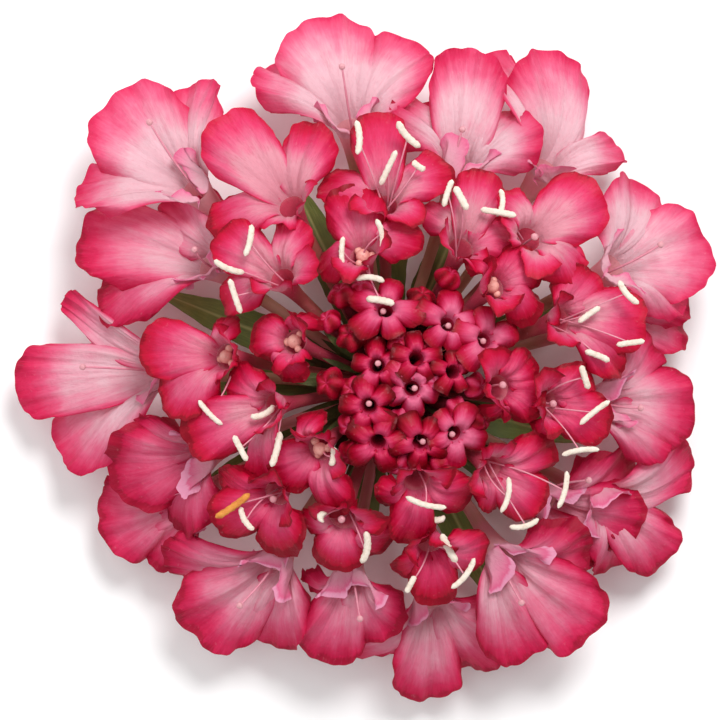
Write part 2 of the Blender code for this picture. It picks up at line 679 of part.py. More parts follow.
def fuse(name, base, pieces, finish):
    """One body made of a base and the pieces rooted in it."""
    scene = bpy.context.scene.collection
    joined = bpy.data.collections.new(name + "_pieces")
    scene.children.link(joined)
    for piece in pieces:
        joined.objects.link(piece)
    base.name = name
    scene.objects.link(base)
    union = base.modifiers.new("union", "BOOLEAN")
    union.operation = "UNION"
    union.operand_type = "COLLECTION"
    union.collection = joined
    union.solver = "MANIFOLD"
    graph = bpy.context.evaluated_depsgraph_get()
    mesh = bpy.data.meshes.new_from_object(base.evaluated_get(graph))
    base.modifiers.clear()
    base.data = main_body(mesh)
    base.data.materials.clear()
    base.data.materials.append(finish)
    for piece in pieces:
        bpy.data.objects.remove(piece)
    bpy.data.collections.remove(joined)
    return base


def build():
    clean_scene()
    dice = random.Random(SEED)
    green = material("bract_green", GREEN, 0.6)
    pale = material("outer_petal_pink", PALE_PINK, 0.5)
    deep = material("inner_petal_crimson", CRIMSON, 0.5)

    stalk = turned_mesh("stalk", STALK_PROFILE, TURNED_SIDES)
    fuse("stalk_and_bracts", stalk, [bract(k, dice) for k in range(BRACT_COUNT)], green)

    collar = collar_mesh("collar", COLLAR_INNER, COLLAR_RADIUS, COLLAR_BOTTOM, COLLAR_TOP, TURNED_SIDES)
    outer = [piece for k, floret in enumerate(OUTER_FLORETS) for piece in outer_floret(k, floret, dice)]
    fuse("outer_florets", collar, outer, pale)

    core = turned_mesh("core", CORE_PROFILE, TURNED_SIDES)
    inner = [piece for k, floret in enumerate(MIDDLE_FLORETS) for piece in middle_floret(k, floret, dice)]
    inner += [piece for k, star in enumerate(STAR_FLORETS) for piece in star_floret(k, star, dice)]
    inner += [piece for k, place in enumerate(BUDS) for piece in bud(k, place)]
    inner += [piece for k, anther in enumerate(ANTHERS) for piece in stamen(k, anther)]
    fuse("inner_florets", core, inner, deep)


build()
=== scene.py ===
import math
import random
from collections import namedtuple

import bpy
import numpy as np
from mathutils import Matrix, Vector


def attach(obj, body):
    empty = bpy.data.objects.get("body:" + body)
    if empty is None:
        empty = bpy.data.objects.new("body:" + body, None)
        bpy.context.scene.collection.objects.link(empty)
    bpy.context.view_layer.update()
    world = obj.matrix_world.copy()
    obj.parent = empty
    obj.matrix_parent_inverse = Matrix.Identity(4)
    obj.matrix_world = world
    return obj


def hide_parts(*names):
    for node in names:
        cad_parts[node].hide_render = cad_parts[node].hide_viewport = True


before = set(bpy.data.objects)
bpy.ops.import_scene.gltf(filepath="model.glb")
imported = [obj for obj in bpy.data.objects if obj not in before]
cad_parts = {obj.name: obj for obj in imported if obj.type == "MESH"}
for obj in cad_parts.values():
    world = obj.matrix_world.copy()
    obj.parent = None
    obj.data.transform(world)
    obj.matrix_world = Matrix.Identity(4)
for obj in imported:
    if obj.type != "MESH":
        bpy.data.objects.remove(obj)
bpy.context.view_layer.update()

MM = 0.001
TURN = 2 * math.pi
UP = np.array((0.0, 0.0, 1.0))
SEED = 23
BRACT_SEED = 11

# The plan of the head, seen from above: a square grid, x to the right and y down
PLAN_SIZE = 720
PLAN_STEP = 0.09 * MM
PLAN_AXIS = (388, 385)
PLAN_MIDDLE = (360, 360)

# The surface between outer and inner florets: it dips in the middle and slopes at the rim
SHELL_HEIGHT = 11.9 * MM
SHELL_DIP = 3.9 * MM
SHELL_DIP_RADIUS = 9.0 * MM
SHELL_DIP_POWER = 1.5
SHELL_SLOPE = 0.10
SHELL_SLOPE_START = 20.0 * MM
SHELL_GAP = 0.3 * MM

# Florets lie in three layers, 0 at the back, 1 and 2 in front, each with its own ceiling or floor
MIDDLE_LAYER = 1
FRONT_LAYER = 2
LAYER_GAP = 0.7 * MM
BEND_BACK = 0.1

# The dome on which the inner florets lie
DOME_TOP = 17.6 * MM
DOME_FALL = 0.135
DOME_CURVE = 4.0

# A floret kind. Mouth: the radius of its tube's mouth. Lean: how far that leans out, in degrees. Root: radius
# and height at which the tube starts. Lip: reach, width and lean, in degrees, of the small inner lobes.
Kind = namedtuple("Kind", "mouth lean root lip_reach lip_width lip_lean")
OUTER = Kind(1.5 * MM, 50, (3.3 * MM, 7.0 * MM), 4.6 * MM, 4.6 * MM, (-14, 34))
MIDDLE = Kind(1.15 * MM, 36, (2.9 * MM, 10.6 * MM), 3.3 * MM, 3.6 * MM, (0, 62))
OUTER_THROAT_HEIGHT = 8.6 * MM
OUTER_THROAT_STEP = 1.5 * MM
OUTER_TIP_HEIGHT = 6.9 * MM
OUTER_TIP_STEP = 1.6 * MM
OUTER_LIP_SHARE = 0.60
OUTER_LIP_STEP = 0.20
MIDDLE_LOWEST = 13.7 * MM
MIDDLE_THROAT_STEP = 0.75 * MM
MIDDLE_TIP_DROP = 0.6 * MM

# Lobes of a floret: angles in degrees
LOBE_SPACING = 72
LOBE_SWING = 20
LIP_PLACES = (128, -128)
LIP_SHIFT = 10
FULLNESS = 1.1
TIP_SCATTER = (-0.4, 0.4)
TONE_SCATTER = 0.15
LIP_REACHES = (0.75, 1.15)
LIP_WIDTHS = (0.8, 1.1)

# How a lobe is shaped. Columns, rows: its grid. Half_angle: the part of the mouth's rim that it takes to
# each side, in degrees. Cup: how far its sides lift. Ruffle: its waves. Droop: how far its end sinks.
# Arch: how far its middle rises. Crinkle: its pleats. Crease: its midline. Roll: how far its margin turns
# down. These are in millimetres. Belly: how far its sides swell, as a share of its width.
Look = namedtuple("Look", "columns rows half_angle cup ruffle droop arch crinkle crease roll belly")
OUTER_LOOK = Look(64, 28, 42, 0.55, 0.62, 0.8, 0.9, 0.035, 0.16, 1.0, 0.10)
MIDDLE_LOOK = Look(48, 20, 40, 0.20, 0.28, 0.5, 0.8, 0.020, 0.10, 0.7, 0.06)
LIP_LOOK = Look(24, 14, 36, 0.6, 0.30, 0.0, 0.2, 0.02, 0.05, 0.9, 0.06)
STAR_LOOK = Look(22, 12, 36, -0.34, 0.05, 0.1, 0.62, 0.008, 0.02, 0.1, 0.05)

# Waves of a lobe. Phase: which of the lobe's drawn phases it takes. Slant: how far it turns from root to tip.
Wave = namedtuple("Wave", "height frequency phase slant")
PHASES = 6
SCALLOPS = [Wave(0.026, 5, 0, 0), Wave(0.018, 11, 1, 0), Wave(0.008, 19, 2, 0)]
WIDE_WAVES = [Wave(0.55, 2.6, 3, 0), Wave(0.40, 5.2, 4, 0)]
MARGIN_WAVES = [Wave(0.34, 9.5, 5, 2), Wave(0.16, 17, 0, 0)]
FOLDS = [Wave(0.26, 5.4, 0, 1)]
ROLLS = [Wave(0.6, 2.2, 2, 0)]
ROLL_BASE = 0.4
PLEATS = [Wave(1.0, 16, 1, 0), Wave(0.6, 27, 2, 3)]

# Outline of a lobe: its rounded end as a share of its width or its reach, and the small notch in it
END_OF_WIDTH = 0.5
END_OF_REACH = 0.52
WIDEST = 0.66
WIDEST_SHARE = 0.95
BLUNT_END = 0.84
BLUNT_SIDES = 0.86
NOTCH_DEPTH = 0.06
NOTCH_WIDTH = 0.20
NOTCH_SHIFT = 0.3
NOTCH_SWING = 0.1
NOTCH_PHASE = 3

# Relief of a lobe along its length
LEAST_LEVEL = 0.4
FLARE = 0.9
LOBE_KNEE = 0.3
MARGIN_START = 0.62
CUP_POWER = 1.5
DROOP_POWER = 3
RUFFLE_POWER = 2.2
PLEAT_POWER = 0.7
CREASE_WIDTH = 0.16
ARCH_STRETCH = 1.1
FOLD_STRETCH = 0.9
CREASE_STRETCH = 1.15

# Where a lobe's colour counts as its edge, and the scale of its streaks
EDGE_POWER = 3.4
EDGE_SIDE_POWER = 6
EDGE_SIDE_START = 2.2
GRAIN_ACROSS = 0.5
GRAIN_ALONG = 0.1
GRAIN_OFFSET = 50

# Tubes
TUBE_ROOT = 0.5 * MM
TUBE_STEPS = 18
TUBE_SIDES = 20
TUBE_KNEE = 0.3
TUBE_WIDENING = 4
TUBE_SETTLED = slice(1, -3)
MOUTH_BLEND = 3
TUBE_EDGE_POWER = 5
TUBE_GRAIN = 2

# Star florets
STAR_MOUTH = 0.68 * MM
STAR_TUBE_ROOT = 0.3 * MM
STAR_TUBE_STEPS = 14
STAR_TUBE_WIDENING = 6
STAR_TUBE_TONE = 0.35
STAR_ROOT = (1.5 * MM, 12.0 * MM)
STAR_RISE = 0.5 * MM
STAR_SCATTER = (-0.4, 0.4)
STAR_LEAN_MOST = 0.5
STAR_LEAN_REACH = 16 * MM
STAR_LOBES = 5
STAR_SWING = 5
STAR_REACHES = (0.94, 1.20)
STAR_LIFTS = (0.1, 0.9)
STAR_WIDTH = 0.76
STAR_TONE_SCATTER = 0.1
PALE_STAR_TONE = 0.34
DEEP_STAR_TONE = 0.95

# Buds: five ribs that twist a little, and a dent where the lobes meet
BUD_ROOT = (1.8 * MM, 11.0 * MM)
BUD_DROP = 0.3 * MM
BUD_SWELL = 1.1
BUD_STALK_STEPS = 8
BUD_STALK_RADIUS = 0.6 * MM
BUD_STALK_SIDES = 14
BUD_STALK_EDGE = 0.5
BUD_STALK_TONE = 0.5
BUD_GRID = (18, 30)
BUD_POLE = 0.03
BUD_RIBS = 5
BUD_TWIST = 1.2
BUD_RIB_HEIGHT = 0.13
BUD_SQUASH = 0.85
BUD_DENT = 0.3
BUD_DENT_WIDTH = 0.35
SEAM_BASE = 0.60
SEAM_SWING = 0.22
SEAM_TOP = 0.35
SEAM_TOP_WIDTH = 0.5
BUD_HELPER = np.array((0.3, 1.0, 0.1))

# Stamens and styles: spans in millimetres
ANTHER_RADII = (0.24, 0.33)
ANTHER_LENGTH = 0.47
ANTHER_RISES = (1.4, 2.1)
ANTHER_TILTS = (-0.25, 0.25)
ANTHER_BOWS = (-0.3, 0.3)
ROD_GRID = (18, 14)
ROD_CAP = 0.14
ROD_CAP_LEAST = 0.02
ROD_TIP = 1e-4
ROD_STEEP = 0.9
GROOVE_DEPTH = 0.16
GROOVE_WIDTH = 0.45
KNOB_HEIGHT = 0.09
KNOB_RATE = 39
KNOB_LOBES = 3
ROD_ROUGHNESS = 0.045
FILAMENT_DEPTH = 0.9 * MM
FILAMENT_SHIFT = 0.4 * MM
FILAMENT_BELOW = 0.2 * MM
FILAMENT_RISE = 0.6 * MM
FILAMENT_RADIUS = 0.085 * MM
THREAD_STEPS = 14
THREAD_SIDES = 8
THREAD_TONE = 0.5
THREAD_TAPER = 0.8
THREAD_SWAYS = (-0.35, 0.35)
THREAD_HELPER = np.array((0.31, 0.87, 0.38))
LEAST_VECTOR = 1e-9
ANY_TURN = 6

# A style and its stigma. Depth: how far down the throat it starts. Rise, shift: its end, from the throat.
Style = namedtuple("Style", "depth rise shift radius stigma")
STAR_STYLE = Style(1.5 * MM, 0.30 * MM, 0.22 * MM, 0.10 * MM, 0.28 * MM)
MIDDLE_STYLE = Style(1.5 * MM, 0.7 * MM, 0.3 * MM, 0.12 * MM, 0.34 * MM)
OUTER_STYLE = Style(1.0 * MM, 1.4 * MM, 0.0, 0.12 * MM, 0.30 * MM)
OUTER_STYLE_BOW = 0.5 * MM
OUTER_STYLE_UNDER = 0.2 * MM
BALL_GRID = (12, 18)
BALL_POLE = 0.05
BALL_ROUGHNESS = 0.03
STIGMA_SQUASH = 0.7

# Young anthers still in the throat: a large one and three small ones round it
YOUNG_RISE = 0.15 * MM
YOUNG_RADIUS = 0.62 * MM
YOUNG_SQUASH = 0.9
YOUNG_AROUND = 3
YOUNG_SPACING = 2.1
YOUNG_START = 0.4
YOUNG_OUT = 0.78 * MM
YOUNG_RADII = (0.30, 0.40)

# Stalk, receptacle and core, turned from profiles of radius and height in millimetres
STALK_TOP = 3.2 * MM
RECEPTACLE_RADIUS = 4.4 * MM
STALK_PROFILE = [(0.02, 0.05), (1.395, 0.0), (1.5, 0.15), (1.47, 2.2), (1.8, 3.2), (3.52, 3.6), (4.4, 4.3),
                 (3.96, 5.6), (0.05, 5.7)]
CORE_PROFILE = [(0.05, 5.9), (3.6, 6.0), (3.9, 7.5), (3.4, 9.5), (3.3, 11.0), (2.4, 13.0), (1.2, 14.4),
                (0.05, 14.6)]
CORE_RADIUS = 3.6 * MM
STALK_RIPPLE = 0.02
CORE_RIPPLE = 0.03
TURNED_SIDES = 60
TURNED_STEPS = 5
TURNED_RIBS = 10
TURNED_ROUGHNESS = 0.3
TURNED_VALUES = (0.3, 0.5, 0.5)

# Bracts
BRACT_COUNT = 11
BRACT_WIDTH = 4.2 * MM
BRACT_LENGTH = 23.0 * MM
BRACT_LENGTHS = (0.82, 1.1)
BRACT_ARCH = 1.5 * MM
BRACT_TIP_HEIGHT = 0.35 * MM
BRACT_LEAST_HEIGHT = 0.06 * MM
BRACT_ROOT_SHARE = 0.55
BRACT_ROOT_RISE = 0.9 * MM
BRACT_SHIFT = 0.35
BRACT_START = 0.42
BRACT_GRID = (41, 15)
BRACT_ARCH_END = 0.8
BRACT_CHANNEL = 0.5 * MM
BRACT_CHANNEL_POWER = 1.3
BRACT_CHANNEL_STRETCH = 1.1
MIDRIB_DEPTH = 0.18 * MM
MIDRIB_WIDTH = 0.13
SIDE_VEIN_HEIGHT = 0.06 * MM
SIDE_VEIN_RATE = 24
SIDE_VEIN_SLANT = 4
BRACT_GRAIN = (2, 2.3, 5.0)

# Scales of the core: spans in millimetres
SCALE_COUNT = 70
SCALE_HEIGHTS = (7.0, 13.6)
SCALE_REACHES = (4.0, 9.0)
SCALE_WIDTHS = (0.5, 0.95)
SCALE_SLOPES = (0.25, 0.75)
SCALE_SHORTENING = 0.4
SCALE_SPAN = 7 * MM
SCALE_ROOT = 2.9 * MM
SCALE_CEILING = 15.6 * MM
SCALE_BOW = 0.3 * MM
SCALE_CURL = 0.15
SCALE_GRID = (17, 9)
SCALE_GRAIN = 0.6
GOLDEN_TURN = 2.399963

# Layer: from 0 at the back to 2 in front. Depth: how deep the floret's pink is, from 0 to 1.
Floret = namedtuple("Floret", "throat left middle right layer depth")

OUTER_FLORETS = [
    Floret((352, 128), (258, 62, 52), (318, 13, 98), (405, 32, 80), 1, 0.10),
    Floret((196, 190), (72, 185, 52), (105, 97, 98), (190, 78, 64), 2, 0.18),
    Floret((212, 265), (92, 300, 66), (76, 228, 84), (165, 192, 68), 1, 0.65),
    Floret((160, 372), (50, 452, 84), (10, 383, 70), (57, 300, 24), 0, 0.35),
    Floret((205, 455), (165, 527, 72), (105, 475, 84), (124, 432, 40), 2, 0.95),
    Floret((190, 500), (140, 562, 56), (97, 536, 80), (100, 495, 34), 0, 0.70),
    Floret((278, 560), (268, 652, 66), (190, 642, 88), (160, 565, 52), 1, 0.60),
    Floret((350, 575), (376, 645, 64), (325, 667, 62), (303, 590, 26), 2, 0.90),
    Floret((430, 600), (500, 672, 76), (428, 707, 66), (358, 666, 50), 0, 0.60),
    Floret((500, 555), (594, 558, 74), (592, 642, 84), (528, 664, 68), 2, 0.75),
    Floret((545, 500), (643, 468, 66), (645, 530, 66), (612, 560, 42), 1, 0.80),
    Floret((600, 500), (702, 462, 58), (676, 562, 64), (620, 574, 48), 0, 0.65),
    Floret((600, 400), (662, 345, 68), (698, 415, 82), (675, 447, 52), 2, 0.50),
    Floret((612, 270), (650, 180, 76), (712, 238, 90), (692, 297, 54), 2, 0.18),
    Floret((545, 170), (493, 44, 38), (560, 46, 86), (627, 142, 38), 0, 0.12),
    Floret((458, 170), (402, 90, 58), (475, 46, 72), (532, 112, 66), 2, 0.30),
    Floret((608, 322), (696, 298, 48), (694, 326, 58), (668, 352, 38), 0, 0.60),
]

MIDDLE_FLORETS = [
    Floret((292, 208), (206, 218, 54), (217, 118, 68), (311, 121, 54), 0, 0.30),
    Floret((283, 281), (219, 299, 42), (220, 232, 50), (290, 219, 42), 2, 0.45),
    Floret((384, 207), (321, 180, 46), (377, 112, 52), (446, 160, 50), 1, 0.65),
    Floret((363, 258), (316, 262, 42), (350, 184, 56), (417, 224, 48), 2, 0.80),
    Floret((460, 250), (431, 200, 34), (487, 171, 48), (516, 232, 46), 0, 0.40),
    Floret((527, 240), (511, 188, 34), (599, 188, 66), (588, 270, 52), 1, 0.35),
    Floret((490, 288), (477, 250, 36), (536, 255, 46), (542, 311, 40), 2, 0.95),
    Floret((557, 320), (598, 276, 50), (647, 318, 64), (625, 370, 40), 0, 0.50),
    Floret((544, 403), (592, 376, 44), (610, 425, 50), (548, 443, 28), 1, 0.80),
    Floret((496, 388), (535, 362, 42), (544, 402, 44), (498, 421, 34), 2, 0.90),
    Floret((488, 467), (557, 450, 44), (541, 508, 50), (494, 511, 28), 1, 0.70),
    Floret((416, 478), (471, 500, 46), (409, 544, 44), (381, 506, 40), 2, 0.80),
    Floret((430, 540), (485, 558, 46), (437, 605, 46), (399, 576, 28), 0, 0.90),
    Floret((321, 447), (335, 517, 42), (275, 478, 50), (305, 411, 36), 2, 0.75),
    Floret((277, 405), (258, 481, 42), (183, 438, 58), (228, 377, 40), 1, 0.60),
    Floret((278, 492), (281, 557, 50), (213, 525, 50), (216, 477, 32), 0, 0.90),
    Floret((343, 516), (390, 548, 48), (335, 570, 50), (304, 525, 30), 1, 0.80),
    Floret((228, 357), (162, 406, 58), (140, 345, 56), (222, 315, 30), 0, 0.60),
    Floret((296, 342), (283, 381, 40), (251, 332, 42), (306, 311, 36), 2, 1.00),
]

# Star florets and buds: x, y and the reach or the radius in steps
STAR_FLORETS = [
    (385, 312, 34), (446, 325, 32), (482, 341, 32), (377, 366, 27), (411, 388, 30), (369, 405, 27),
    (378, 440, 30), (419, 440, 30), (452, 432, 31), (415, 359, 24), (450, 372, 22),
]

BUDS = [
    (343, 296, 13), (352, 337, 14), (331, 383, 14), (455, 408, 11), (447, 279, 12), (352, 388, 11),
    (400, 418, 10), (398, 342, 11), (432, 382, 11), (474, 386, 12), (398, 462, 12), (352, 452, 12),
    (438, 464, 12), (330, 322, 11), (420, 300, 13), (350, 424, 11), (478, 418, 12), (426, 345, 10),
    (362, 290, 11),
]

# Anthers: x and y of the middle, the angle that each lies at in degrees, and its length in steps
ANTHERS = [
    (357, 140, 92, 36), (388, 170, 65, 40), (408, 137, -48, 36), (418, 168, -35, 16), (343, 252, 88, 29),
    (379, 237, -80, 34), (250, 242, 78, 34), (231, 268, -22, 34), (237, 297, -72, 38), (447, 195, 72, 30),
    (460, 200, -62, 28), (497, 214, -10, 38), (499, 203, 88, 26), (370, 281, -5, 30), (380, 302, -10, 30),
    (626, 293, -50, 32), (587, 315, 35, 28), (628, 343, 8, 30), (595, 356, -22, 28), (582, 377, -72, 26),
    (592, 412, 38, 40), (578, 451, 8, 40), (503, 493, 78, 38), (522, 521, 15, 32), (560, 488, 76, 40),
    (425, 500, -15, 44), (436, 516, 0, 18), (448, 546, -62, 34), (462, 571, 52, 40), (410, 582, 62, 20),
    (212, 412, -45, 36), (264, 411, 25, 28), (242, 447, -62, 30), (277, 448, 76, 38), (248, 517, -60, 28),
    (234, 504, 35, 44), (364, 545, 82, 34), (333, 455, 82, 20), (324, 515, 70, 12),
]
AMBER_ANTHER = 35

# Stigmas of the outer florets: x and y, and the number of the floret
OUTER_STIGMAS = [
    (342, 67, 0), (150, 123, 1), (195, 250, 2), (83, 367, 3), (240, 605, 6), (360, 618, 7),
    (521, 602, 9), (588, 480, 10), (640, 408, 12), (660, 245, 13), (462, 130, 15),
]
STAR_STIGMAS = [0, 1, 3, 4, 5, 7, 2, 8]
MIDDLE_STIGMAS = [5, 8, 9, 15, 16]
PALE_STARS = [0, 1, 2, 4, 8]
YOUNG_THROATS = [(362, 250), (488, 284), (294, 341), (232, 358), (322, 446)]


def unit(v):
    return v / np.linalg.norm(v, axis=-1, keepdims=True)


def drawn(dice, span):
    """A length drawn from a span given in millimetres."""
    return dice.uniform(*span) * MM


def placed(name, data):
    """A new object in the scene."""
    obj = bpy.data.objects.new(name, data)
    bpy.context.scene.collection.objects.link(obj)
    return obj


def on_plan(x, y, height=0.0):
    return np.array(((x - PLAN_AXIS[0]) * PLAN_STEP, (PLAN_AXIS[1] - y) * PLAN_STEP, height))


def shell_height(radius):
    rise = SHELL_DIP * np.maximum(0.0, 1 - radius / SHELL_DIP_RADIUS) ** SHELL_DIP_POWER
    return SHELL_HEIGHT - rise - SHELL_SLOPE * np.maximum(0.0, radius - SHELL_SLOPE_START)


def dome_height(x, y):
    radius = math.hypot(*on_plan(x, y)[:2])
    return DOME_TOP - DOME_FALL * radius - DOME_CURVE * radius * radius


def lie_below(layer):
    """Bends points back where they would rise above the ceiling of an outer floret's layer."""

    def settle(points):
        radius = np.hypot(points[..., 0], points[..., 1])
        ceiling = shell_height(radius) - SHELL_GAP - LAYER_GAP * (FRONT_LAYER - layer)
        over = np.maximum(0.0, points[..., 2] - ceiling)
        points[..., 2] -= over * (1 + BEND_BACK)
        return points

    return settle


def lie_above(layer):
    """Bends points back where they would sink under the floor of a middle floret's layer."""

    def settle(points):
        radius = np.hypot(points[..., 0], points[..., 1])
        floor = shell_height(radius) + SHELL_GAP + LAYER_GAP * layer
        under = np.maximum(0.0, floor - points[..., 2]) * (radius > CORE_RADIUS)
        points[..., 2] += under * (1 + BEND_BACK)
        return points

    return settle


def lie_free(points):
    return points


class Mouth:
    """A floret's mouth: its middle, axis and rim."""

    def __init__(self, throat, lean, radius):
        outward = unit(np.array((throat[0], throat[1], 0.0)))
        self.throat = throat
        self.radius = radius
        self.axis = outward * math.sin(lean) + UP * math.cos(lean)
        self.out = outward * math.cos(lean) - UP * math.sin(lean)
        self.side = np.cross(self.axis, self.out)

    def spread(self, angle):
        angle = np.asarray(angle)[..., None]
        return self.out * np.cos(angle) + self.side * np.sin(angle)

    def place_towards(self, tip, wished, swing):
        """The angle on the rim nearest to a tip, at most a swing away from the wished one."""
        way = tip - self.throat
        turn = math.atan2(way @ self.side, way @ self.out) - wished
        turn = (turn + math.pi) % TURN - math.pi
        return wished + max(-swing, min(swing, turn))


class Skin:
    """Gathers grids of points into one mesh, with what the materials read at each point."""

    def __init__(self):
        self.points, self.petal, self.grain, self.faces = [], [], [], []
        self.count = 0

    def grid(self, points, petal, grain, closed=False):
        rows, columns = points.shape[:2]
        index = self.count + np.arange(rows * columns).reshape(rows, columns)
        if closed:
            index = np.concatenate([index, index[:, :1]], axis=1)
        quads = np.stack([index[:-1, :-1], index[:-1, 1:], index[1:, 1:], index[1:, :-1]], axis=-1)
        self.faces.append(quads.reshape(-1, 4))
        self.points.append(points.reshape(-1, 3))
        self.petal.append(np.broadcast_to(petal, points.shape).reshape(-1, 3))
        self.grain.append(np.broadcast_to(grain, points.shape).reshape(-1, 3))
        self.count += rows * columns

    def build(self, name, material):
        mesh = bpy.data.meshes.new(name)
        points = np.concatenate(self.points)
        mesh.from_pydata(points, [], np.concatenate(self.faces).tolist())
        for title, values in (("petal", self.petal), ("grain", self.grain)):
            layer = mesh.attributes.new(title, "FLOAT_VECTOR", "POINT")
            layer.data.foreach_set("vector", np.concatenate(values).astype(np.float32).ravel())
        mesh.shade_smooth()
        mesh.materials.append(material)
        obj = placed(name, mesh)
        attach(obj, "root")
        return obj


def stacked(*values):
    return np.stack(np.broadcast_arrays(*values), axis=-1)


def curve(start, knee, end, share):
    return start * (1 - share) ** 2 + knee * (2 * share * (1 - share)) + end * share**2


def circle(sides):
    return np.linspace(0, TURN, sides, endpoint=False)[None, :]


def rippled(waves, turn, share, phases):
    return sum(w.height * np.sin(w.frequency * turn + phases[w.phase] + w.slant * share) for w in waves)


def hump(share, stretch):
    """Rises and falls once from root to tip. It ends early where the stretch is over 1."""
    return np.sin(math.pi * np.minimum(1, share * stretch))


def blunt(values, power):
    return np.sign(values) * np.abs(values) ** power


def dent(values, width):
    return np.exp(-((values / width) ** 2))


def lobe_outline(reach, width, side, phases):
    """The points of a lobe's margin: their turn round its end, and how far along and across it they lie."""
    rounding = min(width * END_OF_WIDTH, reach * END_OF_REACH)
    straight = reach - rounding
    turn = side * math.acos(-min(WIDEST, WIDEST_SHARE * rounding / straight))
    notch = NOTCH_DEPTH * dent(turn - NOTCH_SWING * phases[NOTCH_PHASE] + NOTCH_SHIFT, NOTCH_WIDTH)
    scallop = 1 + rippled(SCALLOPS, turn, 0, phases) - notch
    ahead = straight + rounding * blunt(np.cos(turn), BLUNT_END) * scallop
    aside = width / 2 * blunt(np.sin(turn), BLUNT_SIDES) * scallop
    return turn, ahead, aside


def lobe_relief(look, side, share, turn, phases):
    """How far each point of a lobe stands off its plane."""
    near = np.clip((share - MARGIN_START) / (1 - MARGIN_START), 0, 1)
    waves = rippled(WIDE_WAVES, turn, share, phases) + rippled(MARGIN_WAVES, turn, share, phases) * near
    folds = rippled(FOLDS, turn, share, phases) * hump(share, FOLD_STRETCH)
    relief = look.cup * np.sin(turn) ** 2 * share**CUP_POWER - look.droop * share**DROOP_POWER
    relief = relief + look.arch * hump(share, ARCH_STRETCH)
    relief = relief + look.ruffle * (waves * share**RUFFLE_POWER + folds)
    relief = relief - look.roll * (ROLL_BASE + rippled(ROLLS, turn, share, phases)) * near**2
    pleats = rippled(PLEATS, turn, share, phases) * np.sin(math.pi * share) ** PLEAT_POWER
    relief = relief + look.crinkle * pleats
    return (relief - look.crease * dent(side, CREASE_WIDTH) * hump(share, CREASE_STRETCH)) * MM


def add_lobe(skin, mouth, place, tip, width, look, dice, settle, tone):
    """A petal lobe, from the rim of the tube to its waved and scalloped margin."""
    root = mouth.throat + mouth.spread(place) * mouth.radius
    along = tip - root
    reach = np.linalg.norm(along)
    along = along / reach
    level = along - mouth.axis * (along @ mouth.axis)
    spread = unit(level) if np.linalg.norm(level) > LEAST_LEVEL else mouth.spread(place)
    normal = unit(np.cross(along, np.cross(mouth.axis, spread)))
    across = np.cross(normal, along)
    side = np.linspace(-1, 1, look.columns + 1)[None, :]
    share = np.linspace(0, 1, look.rows + 1)[:, None]
    phases = dice.uniform(0, TURN, PHASES)
    turn, ahead, aside = lobe_outline(reach, width, side, phases)
    margin = root + along * ahead[..., None] + across * aside[..., None]
    rim = mouth.spread(place + math.radians(look.half_angle) * side)
    start = mouth.throat + rim * mouth.radius
    span = np.linalg.norm(margin - start, axis=-1, keepdims=True)
    knee = start + unit(mouth.axis + rim * FLARE) * (span * LOBE_KNEE)
    belly = width * look.belly * blunt(side, 2) * np.sin(math.pi * share)
    points = curve(start, knee, margin, share[..., None]) + across * belly[..., None]
    points = settle(points + normal * lobe_relief(look, side, share, turn, phases)[..., None])
    beside = np.abs(side) ** EDGE_SIDE_POWER * np.minimum(1, share * EDGE_SIDE_START)
    edge = 1 - (1 - share**EDGE_POWER) * (1 - beside)
    offset = dice.uniform(0, GRAIN_OFFSET)
    grain = stacked(side * width / MM * GRAIN_ACROSS, share * reach / MM * GRAIN_ALONG, offset)
    skin.grid(points, stacked(share, edge, tone), grain)


def tube_path(root, mouth, steps):
    """A tube's middle line, which reaches the mouth along its axis."""
    span = np.linalg.norm(mouth.throat - root)
    knee = mouth.throat - mouth.axis * (span * TUBE_KNEE)
    return curve(root, knee, mouth.throat, np.linspace(0, 1, steps + 1)[:, None])


def widening(root_radius, mouth_radius, path, power):
    return root_radius + (mouth_radius - root_radius) * np.linspace(0, 1, len(path)) ** power


def add_tube(skin, path, radii, sides, edge, tone, side, mouth_axis=None):
    """An open tube round a path. Edge: how much its end is coloured as a petal's edge."""
    ahead = unit(np.gradient(path, axis=0))
    share = np.linspace(0, 1, len(path))[:, None]
    if mouth_axis is not None:
        blend = share**MOUTH_BLEND
        ahead = unit(ahead * (1 - blend) + mouth_axis * blend)
    first = unit(side - ahead * (ahead @ side)[:, None])
    second = np.cross(ahead, first)
    turn = circle(sides)
    ring = first[:, None] * np.cos(turn)[..., None] + second[:, None] * np.sin(turn)[..., None]
    points = path[:, None] + ring * radii[:, None, None]
    length = np.linalg.norm(path[-1] - path[0]) / MM
    grain = stacked(np.cos(turn) * TUBE_GRAIN, share * length * GRAIN_ALONG, np.sin(turn) * TUBE_GRAIN)
    skin.grid(points, stacked(share, share**TUBE_EDGE_POWER * edge, tone), grain, closed=True)


def root_on(ring, throat):
    """The point towards a throat on a ring, given as its radius and height."""
    radius, height = ring
    return unit(np.array((throat[0], throat[1], 0.0))) * radius + UP * height


def outer_mouth(floret):
    height = OUTER_THROAT_HEIGHT + OUTER_THROAT_STEP * (floret.layer - MIDDLE_LAYER)
    return Mouth(on_plan(*floret.throat, height), math.radians(OUTER.lean), OUTER.mouth)


def middle_mouth(floret):
    height = dome_height(*floret.throat) + MIDDLE_THROAT_STEP * (floret.layer - MIDDLE_LAYER)
    return Mouth(on_plan(*floret.throat, max(height, MIDDLE_LOWEST)), math.radians(MIDDLE.lean), MIDDLE.mouth)


def nearest_mouth(x, y):
    return middle_mouth(min(MIDDLE_FLORETS, key=lambda f: math.dist(f.throat, (x, y))))


